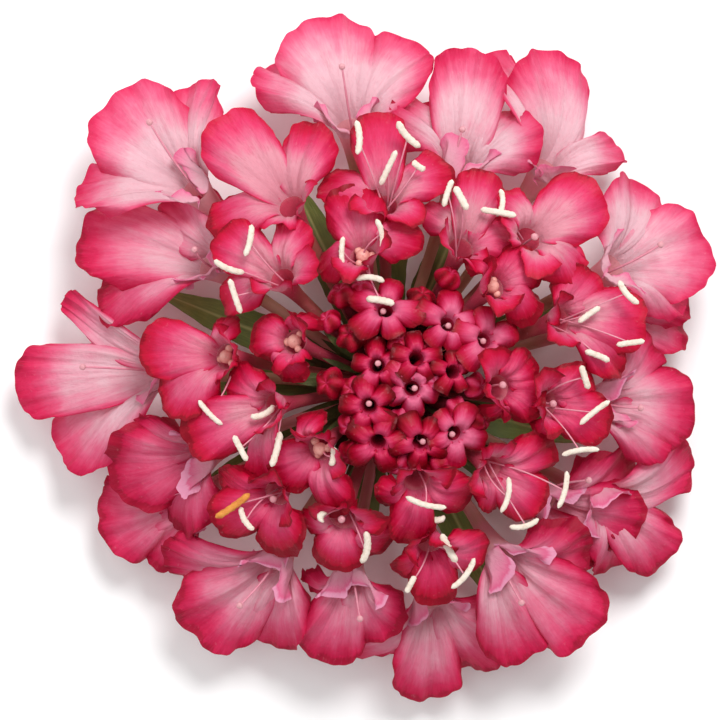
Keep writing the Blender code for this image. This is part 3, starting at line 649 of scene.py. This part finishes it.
def add_floret(skins, floret, kind, mouth, look, tip_height, lip_share, settle, dice):
    """A wide floret: its tube, its three wide lobes and its two small inner ones."""
    petals, lips, tubes = skins
    path = tube_path(root_on(kind.root, mouth.throat), mouth, TUBE_STEPS)
    path[TUBE_SETTLED] = settle(path[TUBE_SETTLED])
    radii = widening(TUBE_ROOT, mouth.radius, path, TUBE_WIDENING)
    add_tube(tubes, path, radii, TUBE_SIDES, 1.0, floret.depth, mouth.side, mouth.axis)
    for k, (x, y, steps) in enumerate((floret.left, floret.middle, floret.right)):
        tip = on_plan(x, y, tip_height + drawn(dice, TIP_SCATTER))
        place = mouth.place_towards(tip, math.radians(LOBE_SPACING) * (1 - k), math.radians(LOBE_SWING))
        tone = floret.depth + dice.uniform(-TONE_SCATTER, TONE_SCATTER)
        add_lobe(petals, mouth, place, tip, steps * PLAN_STEP * FULLNESS, look, dice, settle, tone)
    for turn in LIP_PLACES:
        place = math.radians(turn + dice.uniform(-LIP_SHIFT, LIP_SHIFT))
        lean = math.radians(dice.uniform(*kind.lip_lean))
        reach = kind.lip_reach * lip_share * dice.uniform(*LIP_REACHES)
        way = mouth.axis * math.cos(lean) + mouth.spread(place) * math.sin(lean)
        tip = mouth.throat + mouth.spread(place) * mouth.radius + way * reach
        width = kind.lip_width * dice.uniform(*LIP_WIDTHS)
        add_lobe(lips, mouth, place, tip, width, LIP_LOOK, dice, settle, floret.depth)


def add_star(petals, tubes, x, y, steps, tone, dice):
    """A small floret with five lobes. Returns its mouth."""
    throat = on_plan(x, y, dome_height(x, y) + STAR_RISE + drawn(dice, STAR_SCATTER))
    lean = min(STAR_LEAN_MOST, math.hypot(throat[0], throat[1]) / STAR_LEAN_REACH)
    mouth = Mouth(throat, lean, STAR_MOUTH)
    path = tube_path(root_on(STAR_ROOT, throat), mouth, STAR_TUBE_STEPS)
    radii = widening(STAR_TUBE_ROOT, STAR_MOUTH, path, STAR_TUBE_WIDENING)
    add_tube(tubes, path, radii, TUBE_SIDES, 1.0, STAR_TUBE_TONE, mouth.side, mouth.axis)
    start = dice.uniform(0, LOBE_SPACING)
    for k in range(STAR_LOBES):
        place = math.radians(start + LOBE_SPACING * k + dice.uniform(-STAR_SWING, STAR_SWING))
        reach = steps * PLAN_STEP * dice.uniform(*STAR_REACHES)
        tip = throat + mouth.spread(place) * reach + mouth.axis * drawn(dice, STAR_LIFTS)
        lobe_tone = tone + dice.uniform(-STAR_TONE_SCATTER, STAR_TONE_SCATTER)
        add_lobe(petals, mouth, place, tip, reach * STAR_WIDTH, STAR_LOOK, dice, lie_free, lobe_tone)
    return mouth


def add_bud(skin, tubes, x, y, steps, dice):
    """A floret in bud on its stalk: a ball of five closed lobes, dented where they meet."""
    top = on_plan(x, y, dome_height(x, y) - BUD_DROP)
    radius = steps * PLAN_STEP * BUD_SWELL
    root = root_on(BUD_ROOT, top)
    path = root + (top - root) * np.linspace(0, 1, BUD_STALK_STEPS)[:, None]
    radii = np.full(BUD_STALK_STEPS, BUD_STALK_RADIUS)
    add_tube(tubes, path, radii, BUD_STALK_SIDES, BUD_STALK_EDGE, BUD_STALK_TONE, np.array((1.0, 0.0, 0.0)))
    rows, columns = BUD_GRID
    up = unit(top - root)
    first = unit(np.cross(up, BUD_HELPER))
    second = np.cross(up, first)
    polar = np.linspace(BUD_POLE, math.pi - BUD_POLE, rows)[:, None]
    turn = circle(columns) + dice.uniform(0, 1)
    ribs = BUD_RIBS * turn + BUD_TWIST * polar
    swell = radius * (1 + BUD_RIB_HEIGHT * np.cos(ribs) * np.sin(polar) ** 2)
    height = np.cos(polar) * radius * BUD_SQUASH - BUD_DENT * radius * dent(polar, BUD_DENT_WIDTH)
    points = top + first * (np.sin(polar) * np.cos(turn) * swell)[..., None]
    points = points + second * (np.sin(polar) * np.sin(turn) * swell)[..., None] + up * height[..., None]
    seam = SEAM_BASE + SEAM_SWING * np.cos(ribs + math.pi) - SEAM_TOP * dent(polar, SEAM_TOP_WIDTH)
    skin.grid(points, stacked(1 - polar / math.pi, seam, dice.uniform()), points / MM, closed=True)


def add_rod(skin, start, end, radius, bow, dice):
    """A rounded, slightly bowed and knobbly rod with a groove, such as an anther."""
    rows, sides = ROD_GRID
    share = np.linspace(0, 1, rows)[:, None]
    along = end - start
    helper = UP if abs(unit(along)[2]) < ROD_STEEP else np.array((1.0, 0.0, 0.0))
    first = unit(np.cross(along, helper))
    second = unit(np.cross(first, along))
    path = start + along * share + first * (bow * np.sin(math.pi * share))
    cap = np.clip(np.minimum(share, 1 - share) / ROD_CAP, ROD_CAP_LEAST, 1)
    girth = radius * np.sqrt(1 - (1 - cap) ** 2 + ROD_TIP)
    turn = circle(sides)
    groove = 1 - GROOVE_DEPTH * dent(np.abs(turn - math.pi / 2), GROOVE_WIDTH)
    shift = dice.uniform(0, ANY_TURN)
    knobs = 1 + KNOB_HEIGHT * np.sin(KNOB_RATE * share + shift) * np.cos(KNOB_LOBES * turn)
    rough = knobs + dice.normal(0, ROD_ROUGHNESS, (rows, sides))
    ring = first * np.cos(turn)[..., None] + second * np.sin(turn)[..., None]
    points = path[:, None] + ring * (girth * groove * rough)[..., None]
    skin.grid(points, stacked(share, np.cos(turn), dice.uniform()), points / MM, closed=True)


def add_ball(skin, centre, radius, squash, dice):
    """A slightly uneven ball, such as a stigma."""
    rows, columns = BALL_GRID
    polar = np.linspace(BALL_POLE, math.pi - BALL_POLE, rows)[:, None]
    turn = circle(columns)
    swell = radius * (1 + dice.normal(0, BALL_ROUGHNESS, (rows, columns)))
    level = np.sin(polar) * swell
    points = stacked(level * np.cos(turn), level * np.sin(turn), np.cos(polar) * swell * squash) + centre
    skin.grid(points, stacked(polar / math.pi, turn / TURN, dice.uniform()), points / MM, closed=True)


def add_thread(skin, start, end, rise, radius, dice):
    """A filament or a style: it rises in a bow, sways to a side and thins out."""
    share = np.linspace(0, 1, THREAD_STEPS)
    path = start + (end - start) * share[:, None]
    path[:, 2] += rise * np.sin(math.pi * share)
    sway = unit(np.cross(end - start, UP) + LEAST_VECTOR)
    path = path + sway * (drawn(dice, THREAD_SWAYS) * np.sin(math.pi * share))[:, None]
    radii = radius * (1 - (1 - THREAD_TAPER) * share)
    add_tube(skin, path, radii, THREAD_SIDES, 1.0, THREAD_TONE, THREAD_HELPER)


def add_style(threads, stigmas, mouth, style, dice):
    """A style and its stigma, just out of a floret's throat."""
    end = mouth.throat + mouth.axis * style.rise + mouth.spread(dice.uniform(0, ANY_TURN)) * style.shift
    add_thread(threads, mouth.throat - mouth.axis * style.depth, end, 0.0, style.radius, dice)
    add_ball(stigmas, end, style.stigma, STIGMA_SQUASH, dice)


def add_turned(skin, profile, ripple, dice):
    """A ribbed body of revolution."""
    profile = np.array(profile) * MM
    places = np.arange(len(profile))
    fine = np.linspace(0, places[-1], TURNED_STEPS * places[-1] + 1)
    radius = np.interp(fine, places, profile[:, 0])[:, None]
    height = np.interp(fine, places, profile[:, 1])[:, None]
    turn = circle(TURNED_SIDES)
    rough = dice.normal(0, ripple * TURNED_ROUGHNESS, (len(fine), TURNED_SIDES))
    ribs = 1 + ripple * np.cos(TURNED_RIBS * turn) + rough
    points = stacked(radius * np.cos(turn) * ribs, radius * np.sin(turn) * ribs, height)
    skin.grid(points, np.array(TURNED_VALUES), points / MM, closed=True)


def add_scale(skin, base, tip, width, tone, dice):
    """A narrow pointed green scale."""
    rows, columns = SCALE_GRID
    side = np.linspace(-1, 1, columns)[None, :]
    share = np.linspace(0, 1, rows)[:, None]
    along = tip - base
    across = unit(np.cross(UP, along))
    up = unit(np.cross(along, across))
    half = width / 2 * (0.35 + 1.65 * share * (1 - share) ** 0.6) * (1 - share**5)
    lift = SCALE_BOW * np.sin(math.pi * share) + SCALE_CURL * half * side**2
    points = base + along * share[..., None] + across * (half * side)[..., None] + up * lift[..., None]
    grain = stacked(side * width / MM * GRAIN_ACROSS, share * SCALE_GRAIN, dice.uniform(0, GRAIN_OFFSET))
    skin.grid(points, stacked(share, np.abs(side), tone), grain)


def add_bract(skin, index, shift, stretch):
    """A green bract with a midrib, arching from the receptacle down to the surface."""
    angle = TURN * (index + BRACT_SHIFT * shift) / BRACT_COUNT + BRACT_START
    outward = np.array((math.cos(angle), math.sin(angle), 0.0))
    across = np.array((-outward[1], outward[0], 0.0))
    start = RECEPTACLE_RADIUS * BRACT_ROOT_SHARE
    root_height = STALK_TOP + BRACT_ROOT_RISE
    fall = root_height + BRACT_ARCH * math.sin(math.pi * BRACT_ARCH_END) - BRACT_TIP_HEIGHT
    rows, columns = BRACT_GRID
    side = np.linspace(-1, 1, columns)[None, :]
    share = np.linspace(0, 1, rows)[:, None]
    half = BRACT_WIDTH / 2 * (0.28 + 2.02 * share * (1 - share) ** 0.8) * (1 - 0.98 * share**4)
    half = half * (1 + 0.03 * np.sin(31 * share + 3 * index) + 0.02 * np.sin(73 * share))
    height = root_height + BRACT_ARCH * np.sin(math.pi * share * BRACT_ARCH_END) - fall * share**2
    height = height + BRACT_CHANNEL * np.abs(side) ** BRACT_CHANNEL_POWER * hump(share, BRACT_CHANNEL_STRETCH)
    height = height - MIDRIB_DEPTH * dent(side, MIDRIB_WIDTH) * (1 - share)
    veins = np.sin(SIDE_VEIN_RATE * share + SIDE_VEIN_SLANT * np.abs(side) + index) * np.abs(side)
    height = height + SIDE_VEIN_HEIGHT * veins
    points = outward * (start + (BRACT_LENGTH * stretch - start) * share)[..., None]
    height = np.maximum(height, BRACT_LEAST_HEIGHT)
    points = points + across * (half * side)[..., None] + UP * height[..., None]
    grain = stacked(side * BRACT_GRAIN[0], share * BRACT_GRAIN[1], index * BRACT_GRAIN[2])
    skin.grid(points, stacked(share, np.abs(side), stretch), grain)


# Colours and surfaces

# Noise of a material. Those named streaks and veins follow a petal's grain, and the others the object.
Noise = namedtuple("Noise", "scale detail roughness")
STREAKS = Noise(2.6, 5.0, 0.6)
FINE_STREAKS = Noise(9.0, 4.0, 0.65)
VEINS = Noise(14.0, 2.0, 0.5)
BLOTCHES = Noise(230.0, 3.0, 0.5)
SPECKS = Noise(2600.0, 2.0, 0.5)
LEAF_STREAKS = Noise(5.0, 5.0, 0.6)
LEAF_BLOTCHES = Noise(400.0, 4.0, 0.6)
MEAN = 0.5

# How much each sways a petal's colour between its ramp's ends
EDGE_STRENGTH = 0.94
STREAK_STRENGTH = 0.34
FINE_STRENGTH = 0.24
BLOTCH_STRENGTH = 0.75
TONE_STRENGTH = 0.5
MEAN_TONE = 0.39
VEIN_START = 0.56
VEIN_GAIN = 6.0
SPECK_START = 0.66
SPECK_GAIN = 1.2
SPECK_COLOUR = (0.90, 0.66, 0.72)
PETAL_SHINE = 0.18
PETAL_BUMP = 0.5
PETAL_BUMP_DEPTH = 0.00014
FINE_BUMP = 0.6
VEIN_BUMP = 0.5
THROUGH_COLOUR = (0.92, 0.40, 0.50)
THROUGH_SHARE = 0.25

# Mottled surfaces and bracts
MOTTLE_FINER = 7
MOTTLE_STRENGTH = 0.5
LEAF_STRENGTH = 0.6
LEAF_ROUGHNESS = 0.55
RIB_NARROWNESS = 7.0
RIB_STRENGTH = 0.55

# Colour ramps, from the throat to the margin or from dark to light, as they look on a screen
OUTER_COLOURS = [(0.0, (0.90, 0.74, 0.78)), (0.26, (0.89, 0.57, 0.66)), (0.50, (0.88, 0.37, 0.52)),
                 (0.76, (0.83, 0.17, 0.36)), (0.94, (0.76, 0.06, 0.27)), (1.0, (0.64, 0.02, 0.19))]
LIP_COLOURS = [(0.0, (0.86, 0.66, 0.71)), (0.5, (0.88, 0.54, 0.65)), (0.85, (0.86, 0.40, 0.56)),
               (1.0, (0.89, 0.60, 0.72))]
MIDDLE_COLOURS = [(0.0, (0.86, 0.58, 0.64)), (0.25, (0.87, 0.39, 0.53)), (0.50, (0.85, 0.21, 0.40)),
                  (0.76, (0.79, 0.05, 0.25)), (0.94, (0.71, 0.01, 0.17)), (1.0, (0.55, 0.00, 0.11))]
STAR_COLOURS = [(0.0, (0.84, 0.38, 0.52)), (0.22, (0.82, 0.25, 0.42)), (0.46, (0.73, 0.07, 0.25)),
                (0.70, (0.62, 0.01, 0.13)), (1.0, (0.40, 0.00, 0.05))]
OUTER_TUBE_COLOURS = [(0.0, (0.70, 0.56, 0.44)), (0.4, (0.86, 0.56, 0.60)), (1.0, (0.88, 0.66, 0.68))]
MIDDLE_TUBE_COLOURS = [(0.0, (0.58, 0.30, 0.26)), (0.4, (0.74, 0.24, 0.34)), (0.8, (0.80, 0.30, 0.40)),
                       (1.0, (0.84, 0.46, 0.52))]
# Star tubes and bud stalks: their own deep crimson, darkened further to paint the shade that falls in the
# gaps between the star florets and down their throats
STAR_TUBE_COLOURS_AND_PAINTED_SHADE = [(0.0, (0.32, 0.12, 0.12)), (0.4, (0.48, 0.05, 0.15)), (0.8, (0.62, 0.07, 0.20)),
                     (1.0, (0.72, 0.18, 0.32))]
CREAM_COLOURS = [(0.0, (0.68, 0.59, 0.51)), (0.45, (0.87, 0.81, 0.75)), (1.0, (0.95, 0.92, 0.88))]
AMBER_COLOURS = [(0.0, (0.60, 0.30, 0.08)), (0.5, (0.80, 0.50, 0.18)), (1.0, (0.88, 0.66, 0.32))]
YOUNG_COLOURS = [(0.0, (0.78, 0.46, 0.44)), (0.5, (0.86, 0.60, 0.56)), (1.0, (0.90, 0.72, 0.68))]
FILAMENT_COLOURS = [(0.0, (0.74, 0.34, 0.44)), (1.0, (0.86, 0.60, 0.66))]
STIGMA_COLOURS = [(0.0, (0.74, 0.42, 0.48)), (1.0, (0.86, 0.66, 0.68))]
LEAF_COLOURS = [(0.0, (0.22, 0.30, 0.11)), (0.45, (0.38, 0.47, 0.17)), (0.8, (0.55, 0.60, 0.27)),
                (1.0, (0.58, 0.46, 0.25))]
SCALE_COLOURS = [(0.0, (0.14, 0.16, 0.05)), (0.5, (0.27, 0.28, 0.10)), (1.0, (0.42, 0.40, 0.16))]
OLIVE_COLOURS = [(0.0, (0.10, 0.13, 0.04)), (0.5, (0.24, 0.29, 0.10)), (1.0, (0.42, 0.44, 0.18))]
RIB_COLOUR = (0.68, 0.74, 0.45)


def linear(colour):
    """A colour as it looks on a screen, in the renderer's terms."""
    return tuple(v / 12.92 if v <= 0.04045 else ((v + 0.055) / 1.055) ** 2.4 for v in colour) + (1.0,)


class Nodes:
    """Short ways to add a material's nodes."""

    def __init__(self, name):
        self.material = bpy.data.materials.new(name)
        self.material.use_nodes = True
        self.tree = self.material.node_tree
        self.shader = self.tree.nodes["Principled BSDF"]
        self.output = self.tree.nodes["Material Output"]

    def add(self, kind, **settings):
        node = self.tree.nodes.new(kind)
        for name, value in settings.items():
            setattr(node, name, value)
        return node

    def link(self, source, target):
        self.tree.links.new(source, target)

    def put(self, socket, value):
        if isinstance(value, bpy.types.NodeSocket):
            self.link(value, socket)
        else:
            socket.default_value = value

    def math(self, operation, *values, clamp=False):
        node = self.add("ShaderNodeMath", operation=operation, use_clamp=clamp)
        for socket, value in zip(node.inputs, values):
            self.put(socket, value)
        return node.outputs[0]

    def sway(self, base, value, middle, strength, clamp=False):
        """The base, raised where the value is over its middle and lowered where it is under."""
        return self.math("MULTIPLY_ADD", self.math("SUBTRACT", value, middle), strength, base, clamp=clamp)

    def above(self, value, start, gain):
        """How far the value is over a start, times a gain."""
        return self.math("MULTIPLY", self.math("SUBTRACT", value, start, clamp=True), gain, clamp=True)

    def attribute(self, name):
        node = self.add("ShaderNodeAttribute", attribute_name=name)
        return node.outputs["Vector"]

    def split(self, vector):
        node = self.add("ShaderNodeSeparateXYZ")
        self.link(vector, node.inputs[0])
        return node.outputs

    def noise(self, vector, noise):
        node = self.add("ShaderNodeTexNoise")
        self.link(vector, node.inputs["Vector"])
        for title, value in zip(("Scale", "Detail", "Roughness"), noise):
            node.inputs[title].default_value = value
        return node.outputs["Fac"]

    def place(self):
        return self.add("ShaderNodeTexCoord").outputs["Object"]

    def ramp(self, factor, stops):
        node = self.add("ShaderNodeValToRGB")
        self.link(factor, node.inputs["Fac"])
        elements = node.color_ramp.elements
        while len(elements) < len(stops):
            elements.new(0.5)
        for element, (position, colour) in zip(elements, stops):
            element.position = position
            element.color = linear(colour)
        return node.outputs["Color"]

    def mix(self, factor, first, second):
        """Mixes a colour link with a plain colour."""
        node = self.add("ShaderNodeMix", data_type="RGBA")
        self.put(node.inputs[0], factor)
        self.put(node.inputs[6], first)
        self.put(node.inputs[7], linear(second))
        return node.outputs[2]

    def bump(self, height, strength, distance):
        node = self.add("ShaderNodeBump")
        self.link(height, node.inputs["Height"])
        node.inputs["Strength"].default_value = strength
        node.inputs["Distance"].default_value = distance
        self.link(node.outputs["Normal"], self.shader.inputs["Normal"])
        return node.outputs["Normal"]


def petal_material(name, stops, vein, vein_share, roughness, glow):
    """A thin petal: its colour runs from throat to margin, with streaks along it and light coming through."""
    n = Nodes(name)
    _, edge, tone = n.split(n.attribute("petal"))
    grain = n.attribute("grain")
    fine = n.noise(grain, FINE_STREAKS)
    veins = n.noise(grain, VEINS)
    specks = n.noise(n.place(), SPECKS)
    depth = n.math("MULTIPLY", edge, EDGE_STRENGTH)
    depth = n.sway(depth, n.noise(grain, STREAKS), MEAN, STREAK_STRENGTH)
    depth = n.sway(depth, fine, MEAN, FINE_STRENGTH)
    depth = n.sway(depth, n.noise(n.place(), BLOTCHES), MEAN, BLOTCH_STRENGTH)
    depth = n.sway(depth, tone, MEAN_TONE, TONE_STRENGTH, clamp=True)
    colour = n.ramp(depth, stops)
    colour = n.mix(n.math("MULTIPLY", n.above(veins, VEIN_START, VEIN_GAIN), vein_share), colour, vein)
    colour = n.mix(n.above(specks, SPECK_START, SPECK_GAIN), colour, SPECK_COLOUR)
    n.link(colour, n.shader.inputs["Base Color"])
    n.shader.inputs["Roughness"].default_value = roughness
    n.shader.inputs["Specular IOR Level"].default_value = PETAL_SHINE
    height = n.math("MULTIPLY_ADD", fine, FINE_BUMP, n.math("MULTIPLY_ADD", veins, VEIN_BUMP, specks))
    normal = n.bump(height, PETAL_BUMP, PETAL_BUMP_DEPTH)
    through = n.add("ShaderNodeBsdfTranslucent")
    n.link(n.mix(THROUGH_SHARE, colour, THROUGH_COLOUR), through.inputs["Color"])
    n.link(normal, through.inputs["Normal"])
    blend = n.add("ShaderNodeMixShader")
    blend.inputs[0].default_value = glow
    n.link(n.shader.outputs[0], blend.inputs[1])
    n.link(through.outputs[0], blend.inputs[2])
    n.link(blend.outputs[0], n.output.inputs["Surface"])
    return n.material


def mottled_material(name, stops, scale, roughness, bump, distance):
    """A mottled surface, such as an anther's or a stalk's."""
    n = Nodes(name)
    blotch = n.noise(n.place(), Noise(scale, 5.0, 0.6))
    fine = n.noise(n.place(), Noise(scale * MOTTLE_FINER, 3.0, 0.6))
    mixed = n.sway(blotch, fine, MEAN, MOTTLE_STRENGTH, clamp=True)
    n.link(n.ramp(mixed, stops), n.shader.inputs["Base Color"])
    n.shader.inputs["Roughness"].default_value = roughness
    n.bump(mixed, bump, distance)
    return n.material


def leaf_material(name):
    """A green bract: a pale midrib, a darker base and a dry tip."""
    n = Nodes(name)
    share, side, _ = n.split(n.attribute("petal"))
    streak = n.noise(n.attribute("grain"), LEAF_STREAKS)
    blotch = n.noise(n.place(), LEAF_BLOTCHES)
    depth = n.sway(n.math("MULTIPLY", share, LEAF_STRENGTH), streak, MEAN, LEAF_STRENGTH)
    depth = n.sway(depth, blotch, MEAN, LEAF_STRENGTH, clamp=True)
    rib = n.math("SUBTRACT", 1.0, n.math("MULTIPLY", side, RIB_NARROWNESS), clamp=True)
    colour = n.mix(n.math("MULTIPLY", rib, RIB_STRENGTH), n.ramp(depth, LEAF_COLOURS), RIB_COLOUR)
    n.link(colour, n.shader.inputs["Base Color"])
    n.shader.inputs["Roughness"].default_value = LEAF_ROUGHNESS
    n.bump(n.math("ADD", streak, blotch), 0.4, 0.0002)
    return n.material


# Petals: vein colour and strength, roughness, and how much light comes through
outer_petal = petal_material("outer_petal", OUTER_COLOURS, (0.78, 0.26, 0.42), 0.22, 0.5, 0.34)
lip_petal = petal_material("lip_petal", LIP_COLOURS, (0.80, 0.34, 0.48), 0.15, 0.5, 0.25)
middle_petal = petal_material("middle_petal", MIDDLE_COLOURS, (0.62, 0.03, 0.17), 0.22, 0.45, 0.28)
star_petal = petal_material("star_petal", STAR_COLOURS, (0.74, 0.20, 0.32), 0.1, 0.4, 0.18)
outer_tube = petal_material("outer_tube_skin", OUTER_TUBE_COLOURS, (0.84, 0.50, 0.58), 0.2, 0.5, 0.4)
middle_tube = petal_material("middle_tube_skin", MIDDLE_TUBE_COLOURS, (0.62, 0.14, 0.24), 0.2, 0.5, 0.3)
# Star tubes and bud stalks: their own crimson, with painted shade for the gaps between the star florets
star_tube_with_painted_shade = petal_material("star_tube_skin_and_painted_shade", STAR_TUBE_COLOURS_AND_PAINTED_SHADE, (0.30, 0.02, 0.08), 0.2, 0.5, 0.12)

# Mottled surfaces: scale of the blotches, roughness, and strength and depth of the bumps
cream = mottled_material("anther_cream", CREAM_COLOURS, 2200.0, 0.8, 0.9, 0.0001)
amber = mottled_material("anther_amber", AMBER_COLOURS, 1800.0, 0.7, 0.7, 0.00008)
peach = mottled_material("young_anther", YOUNG_COLOURS, 1500.0, 0.5, 0.3, 0.00006)
thread = mottled_material("filament_pink", FILAMENT_COLOURS, 1500.0, 0.5, 0.2, 0.00005)
stigma = mottled_material("stigma_pink", STIGMA_COLOURS, 2600.0, 0.5, 0.6, 0.00006)
scale_green = mottled_material("scale_green", SCALE_COLOURS, 900.0, 0.7, 0.5, 0.0002)
olive = mottled_material("receptacle_olive", OLIVE_COLOURS, 700.0, 0.7, 0.8, 0.0003)
green = leaf_material("bract_green")

# Build the head

dice = np.random.default_rng(SEED)

outer_petals, outer_lips, outer_tubes = Skin(), Skin(), Skin()
for floret in OUTER_FLORETS:
    tip_height = OUTER_TIP_HEIGHT + OUTER_TIP_STEP * (floret.layer - MIDDLE_LAYER)
    lip_share = OUTER_LIP_SHARE + OUTER_LIP_STEP * floret.layer
    add_floret((outer_petals, outer_lips, outer_tubes), floret, OUTER, outer_mouth(floret), OUTER_LOOK,
               tip_height, lip_share, lie_below(floret.layer), dice)

middle_petals, middle_lips, middle_tubes = Skin(), Skin(), Skin()
for floret in MIDDLE_FLORETS:
    mouth = middle_mouth(floret)
    add_floret((middle_petals, middle_lips, middle_tubes), floret, MIDDLE, mouth, MIDDLE_LOOK,
               mouth.throat[2] - MIDDLE_TIP_DROP, 1.0, lie_above(floret.layer), dice)

stars, star_tubes, star_mouths = Skin(), Skin(), []
for index, star in enumerate(STAR_FLORETS):
    tone = PALE_STAR_TONE if index in PALE_STARS else DEEP_STAR_TONE
    star_mouths.append(add_star(stars, star_tubes, *star, tone, dice))

buds = Skin()
for bud in BUDS:
    add_bud(buds, star_tubes, *bud, dice)

anthers, amber_anthers, threads = Skin(), Skin(), Skin()
for index, (x, y, angle, steps) in enumerate(ANTHERS):
    mouth = nearest_mouth(x, y)
    base = mouth.throat - mouth.axis * FILAMENT_DEPTH
    base = base + mouth.spread(dice.uniform(0, ANY_TURN)) * FILAMENT_SHIFT
    middle = on_plan(x, y, mouth.throat[2] + drawn(dice, ANTHER_RISES))
    angle = math.radians(angle)
    half = np.array((math.cos(angle), math.sin(angle), dice.uniform(*ANTHER_TILTS)))
    half = half * steps * PLAN_STEP * ANTHER_LENGTH
    holder = amber_anthers if index == AMBER_ANTHER else anthers
    radius = drawn(dice, ANTHER_RADII)
    add_rod(holder, middle - half, middle + half, radius, drawn(dice, ANTHER_BOWS), dice)
    add_thread(threads, base, middle - UP * FILAMENT_BELOW, FILAMENT_RISE, FILAMENT_RADIUS, dice)

stigmas = Skin()
for x, y, index in OUTER_STIGMAS:
    mouth = outer_mouth(OUTER_FLORETS[index])
    ceiling = shell_height(math.hypot(*on_plan(x, y)[:2])) - OUTER_STYLE_UNDER
    end = on_plan(x, y, max(mouth.throat[2] + OUTER_STYLE.rise, ceiling))
    base = mouth.throat - mouth.axis * OUTER_STYLE.depth
    add_thread(threads, base, end, OUTER_STYLE_BOW, OUTER_STYLE.radius, dice)
    add_ball(stigmas, end, OUTER_STYLE.stigma, STIGMA_SQUASH, dice)
for index in STAR_STIGMAS:
    add_style(threads, stigmas, star_mouths[index], STAR_STYLE, dice)
for index in MIDDLE_STIGMAS:
    add_style(threads, stigmas, middle_mouth(MIDDLE_FLORETS[index]), MIDDLE_STYLE, dice)

young = Skin()
for x, y in YOUNG_THROATS:
    mouth = nearest_mouth(x, y)
    add_ball(young, mouth.throat + mouth.axis * YOUNG_RISE, YOUNG_RADIUS, YOUNG_SQUASH, dice)
    for k in range(YOUNG_AROUND):
        out = mouth.spread(k * YOUNG_SPACING + YOUNG_START) * YOUNG_OUT
        add_ball(young, mouth.throat + out, drawn(dice, YOUNG_RADII), YOUNG_SQUASH, dice)

bracts = Skin()
bract_dice = random.Random(BRACT_SEED)
for index in range(BRACT_COUNT):
    shift = bract_dice.uniform(-1, 1)
    add_bract(bracts, index, shift, bract_dice.uniform(*BRACT_LENGTHS))

stalk, core = Skin(), Skin()
add_turned(stalk, STALK_PROFILE, STALK_RIPPLE, dice)
add_turned(core, CORE_PROFILE, CORE_RIPPLE, dice)

scales = Skin()
for index in range(SCALE_COUNT):
    height = drawn(dice, SCALE_HEIGHTS)
    turn = index * GOLDEN_TURN
    outward = np.array((math.cos(turn), math.sin(turn), 0.0))
    shortening = 1 - SCALE_SHORTENING * (height - SCALE_HEIGHTS[0] * MM) / SCALE_SPAN
    reach = drawn(dice, SCALE_REACHES) * shortening
    base = outward * SCALE_ROOT + UP * height
    tip = outward * (SCALE_ROOT + reach) + UP * (height + reach * dice.uniform(*SCALE_SLOPES))
    tip[2] = min(tip[2], SCALE_CEILING)
    width = drawn(dice, SCALE_WIDTHS)
    add_scale(scales, base, tip, width, dice.uniform(), dice)

for name, skin, material in [
    ("outer_petals", outer_petals, outer_petal),
    ("outer_inner_lobes", outer_lips, lip_petal),
    ("outer_tubes", outer_tubes, outer_tube),
    ("middle_petals", middle_petals, middle_petal),
    ("middle_inner_lobes", middle_lips, middle_petal),
    ("middle_tubes", middle_tubes, middle_tube),
    ("star_petals", stars, star_petal),
    ("star_tubes", star_tubes, star_tube_with_painted_shade),
    ("flower_buds", buds, star_petal),
    ("anthers", anthers, cream),
    ("amber_anther", amber_anthers, amber),
    ("young_anthers", young, peach),
    ("filaments_and_styles", threads, thread),
    ("stigmas", stigmas, stigma),
    ("bracts", bracts, green),
    ("stalk_and_receptacle", stalk, green),
    ("core", core, olive),
    ("scales", scales, scale_green),
]:
    skin.build(name, material)
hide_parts("outer_florets")
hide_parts("inner_florets")
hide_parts("stalk_and_bracts")

# Floor, light and camera

FLOOR_HALF = 3
FLOOR_COLOUR = (0.93, 0.93, 0.93, 1)
FLOOR_ROUGHNESS = 0.7
SKY_STRENGTH = 0.56
AIM_HEIGHT = 10 * MM
CAMERA_DISTANCE = 0.55
CAMERA_CLIP = 0.01
SENSOR = 36

aim = Vector(on_plan(*PLAN_MIDDLE, AIM_HEIGHT))

floor_mesh = bpy.data.meshes.new("floor")
corners = [(-FLOOR_HALF, -FLOOR_HALF, 0), (FLOOR_HALF, -FLOOR_HALF, 0), (FLOOR_HALF, FLOOR_HALF, 0),
           (-FLOOR_HALF, FLOOR_HALF, 0)]
floor_mesh.from_pydata(corners, [], [(0, 1, 2, 3)])
floor_look = Nodes("floor_white")
floor_look.shader.inputs["Base Color"].default_value = FLOOR_COLOUR
floor_look.shader.inputs["Roughness"].default_value = FLOOR_ROUGHNESS
floor_mesh.materials.append(floor_look.material)
floor = placed("floor", floor_mesh)


def add_area_light(name, place, size, watts):
    data = bpy.data.lights.new(name, "AREA")
    data.shape = "DISK"
    data.size = size
    data.energy = watts
    lamp = placed(name, data)
    lamp.location = Vector(place)
    lamp.rotation_euler = (aim - lamp.location).to_track_quat("-Z", "Y").to_euler()


add_area_light("key", place=(0.12, 0.28, 0.42), size=0.24, watts=2.35)
add_area_light("fill", place=(-0.30, 0.06, 0.45), size=0.6, watts=1.0)

world = bpy.data.worlds.new("studio")
world.use_nodes = True
sky = world.node_tree.nodes["Background"]
sky.inputs["Color"].default_value = (1, 1, 1, 1)
sky.inputs["Strength"].default_value = SKY_STRENGTH
bpy.context.scene.world = world
bpy.context.scene.view_settings.view_transform = "Standard"

camera_data = bpy.data.cameras.new("camera")
camera_data.sensor_width = SENSOR
camera_data.lens = SENSOR * CAMERA_DISTANCE / (PLAN_SIZE * PLAN_STEP)
camera_data.clip_start = CAMERA_CLIP
camera = placed("camera", camera_data)
camera.location = aim + Vector((0, 0, CAMERA_DISTANCE))
camera.rotation_euler = (0, 0, 0)
bpy.context.scene.camera = camera
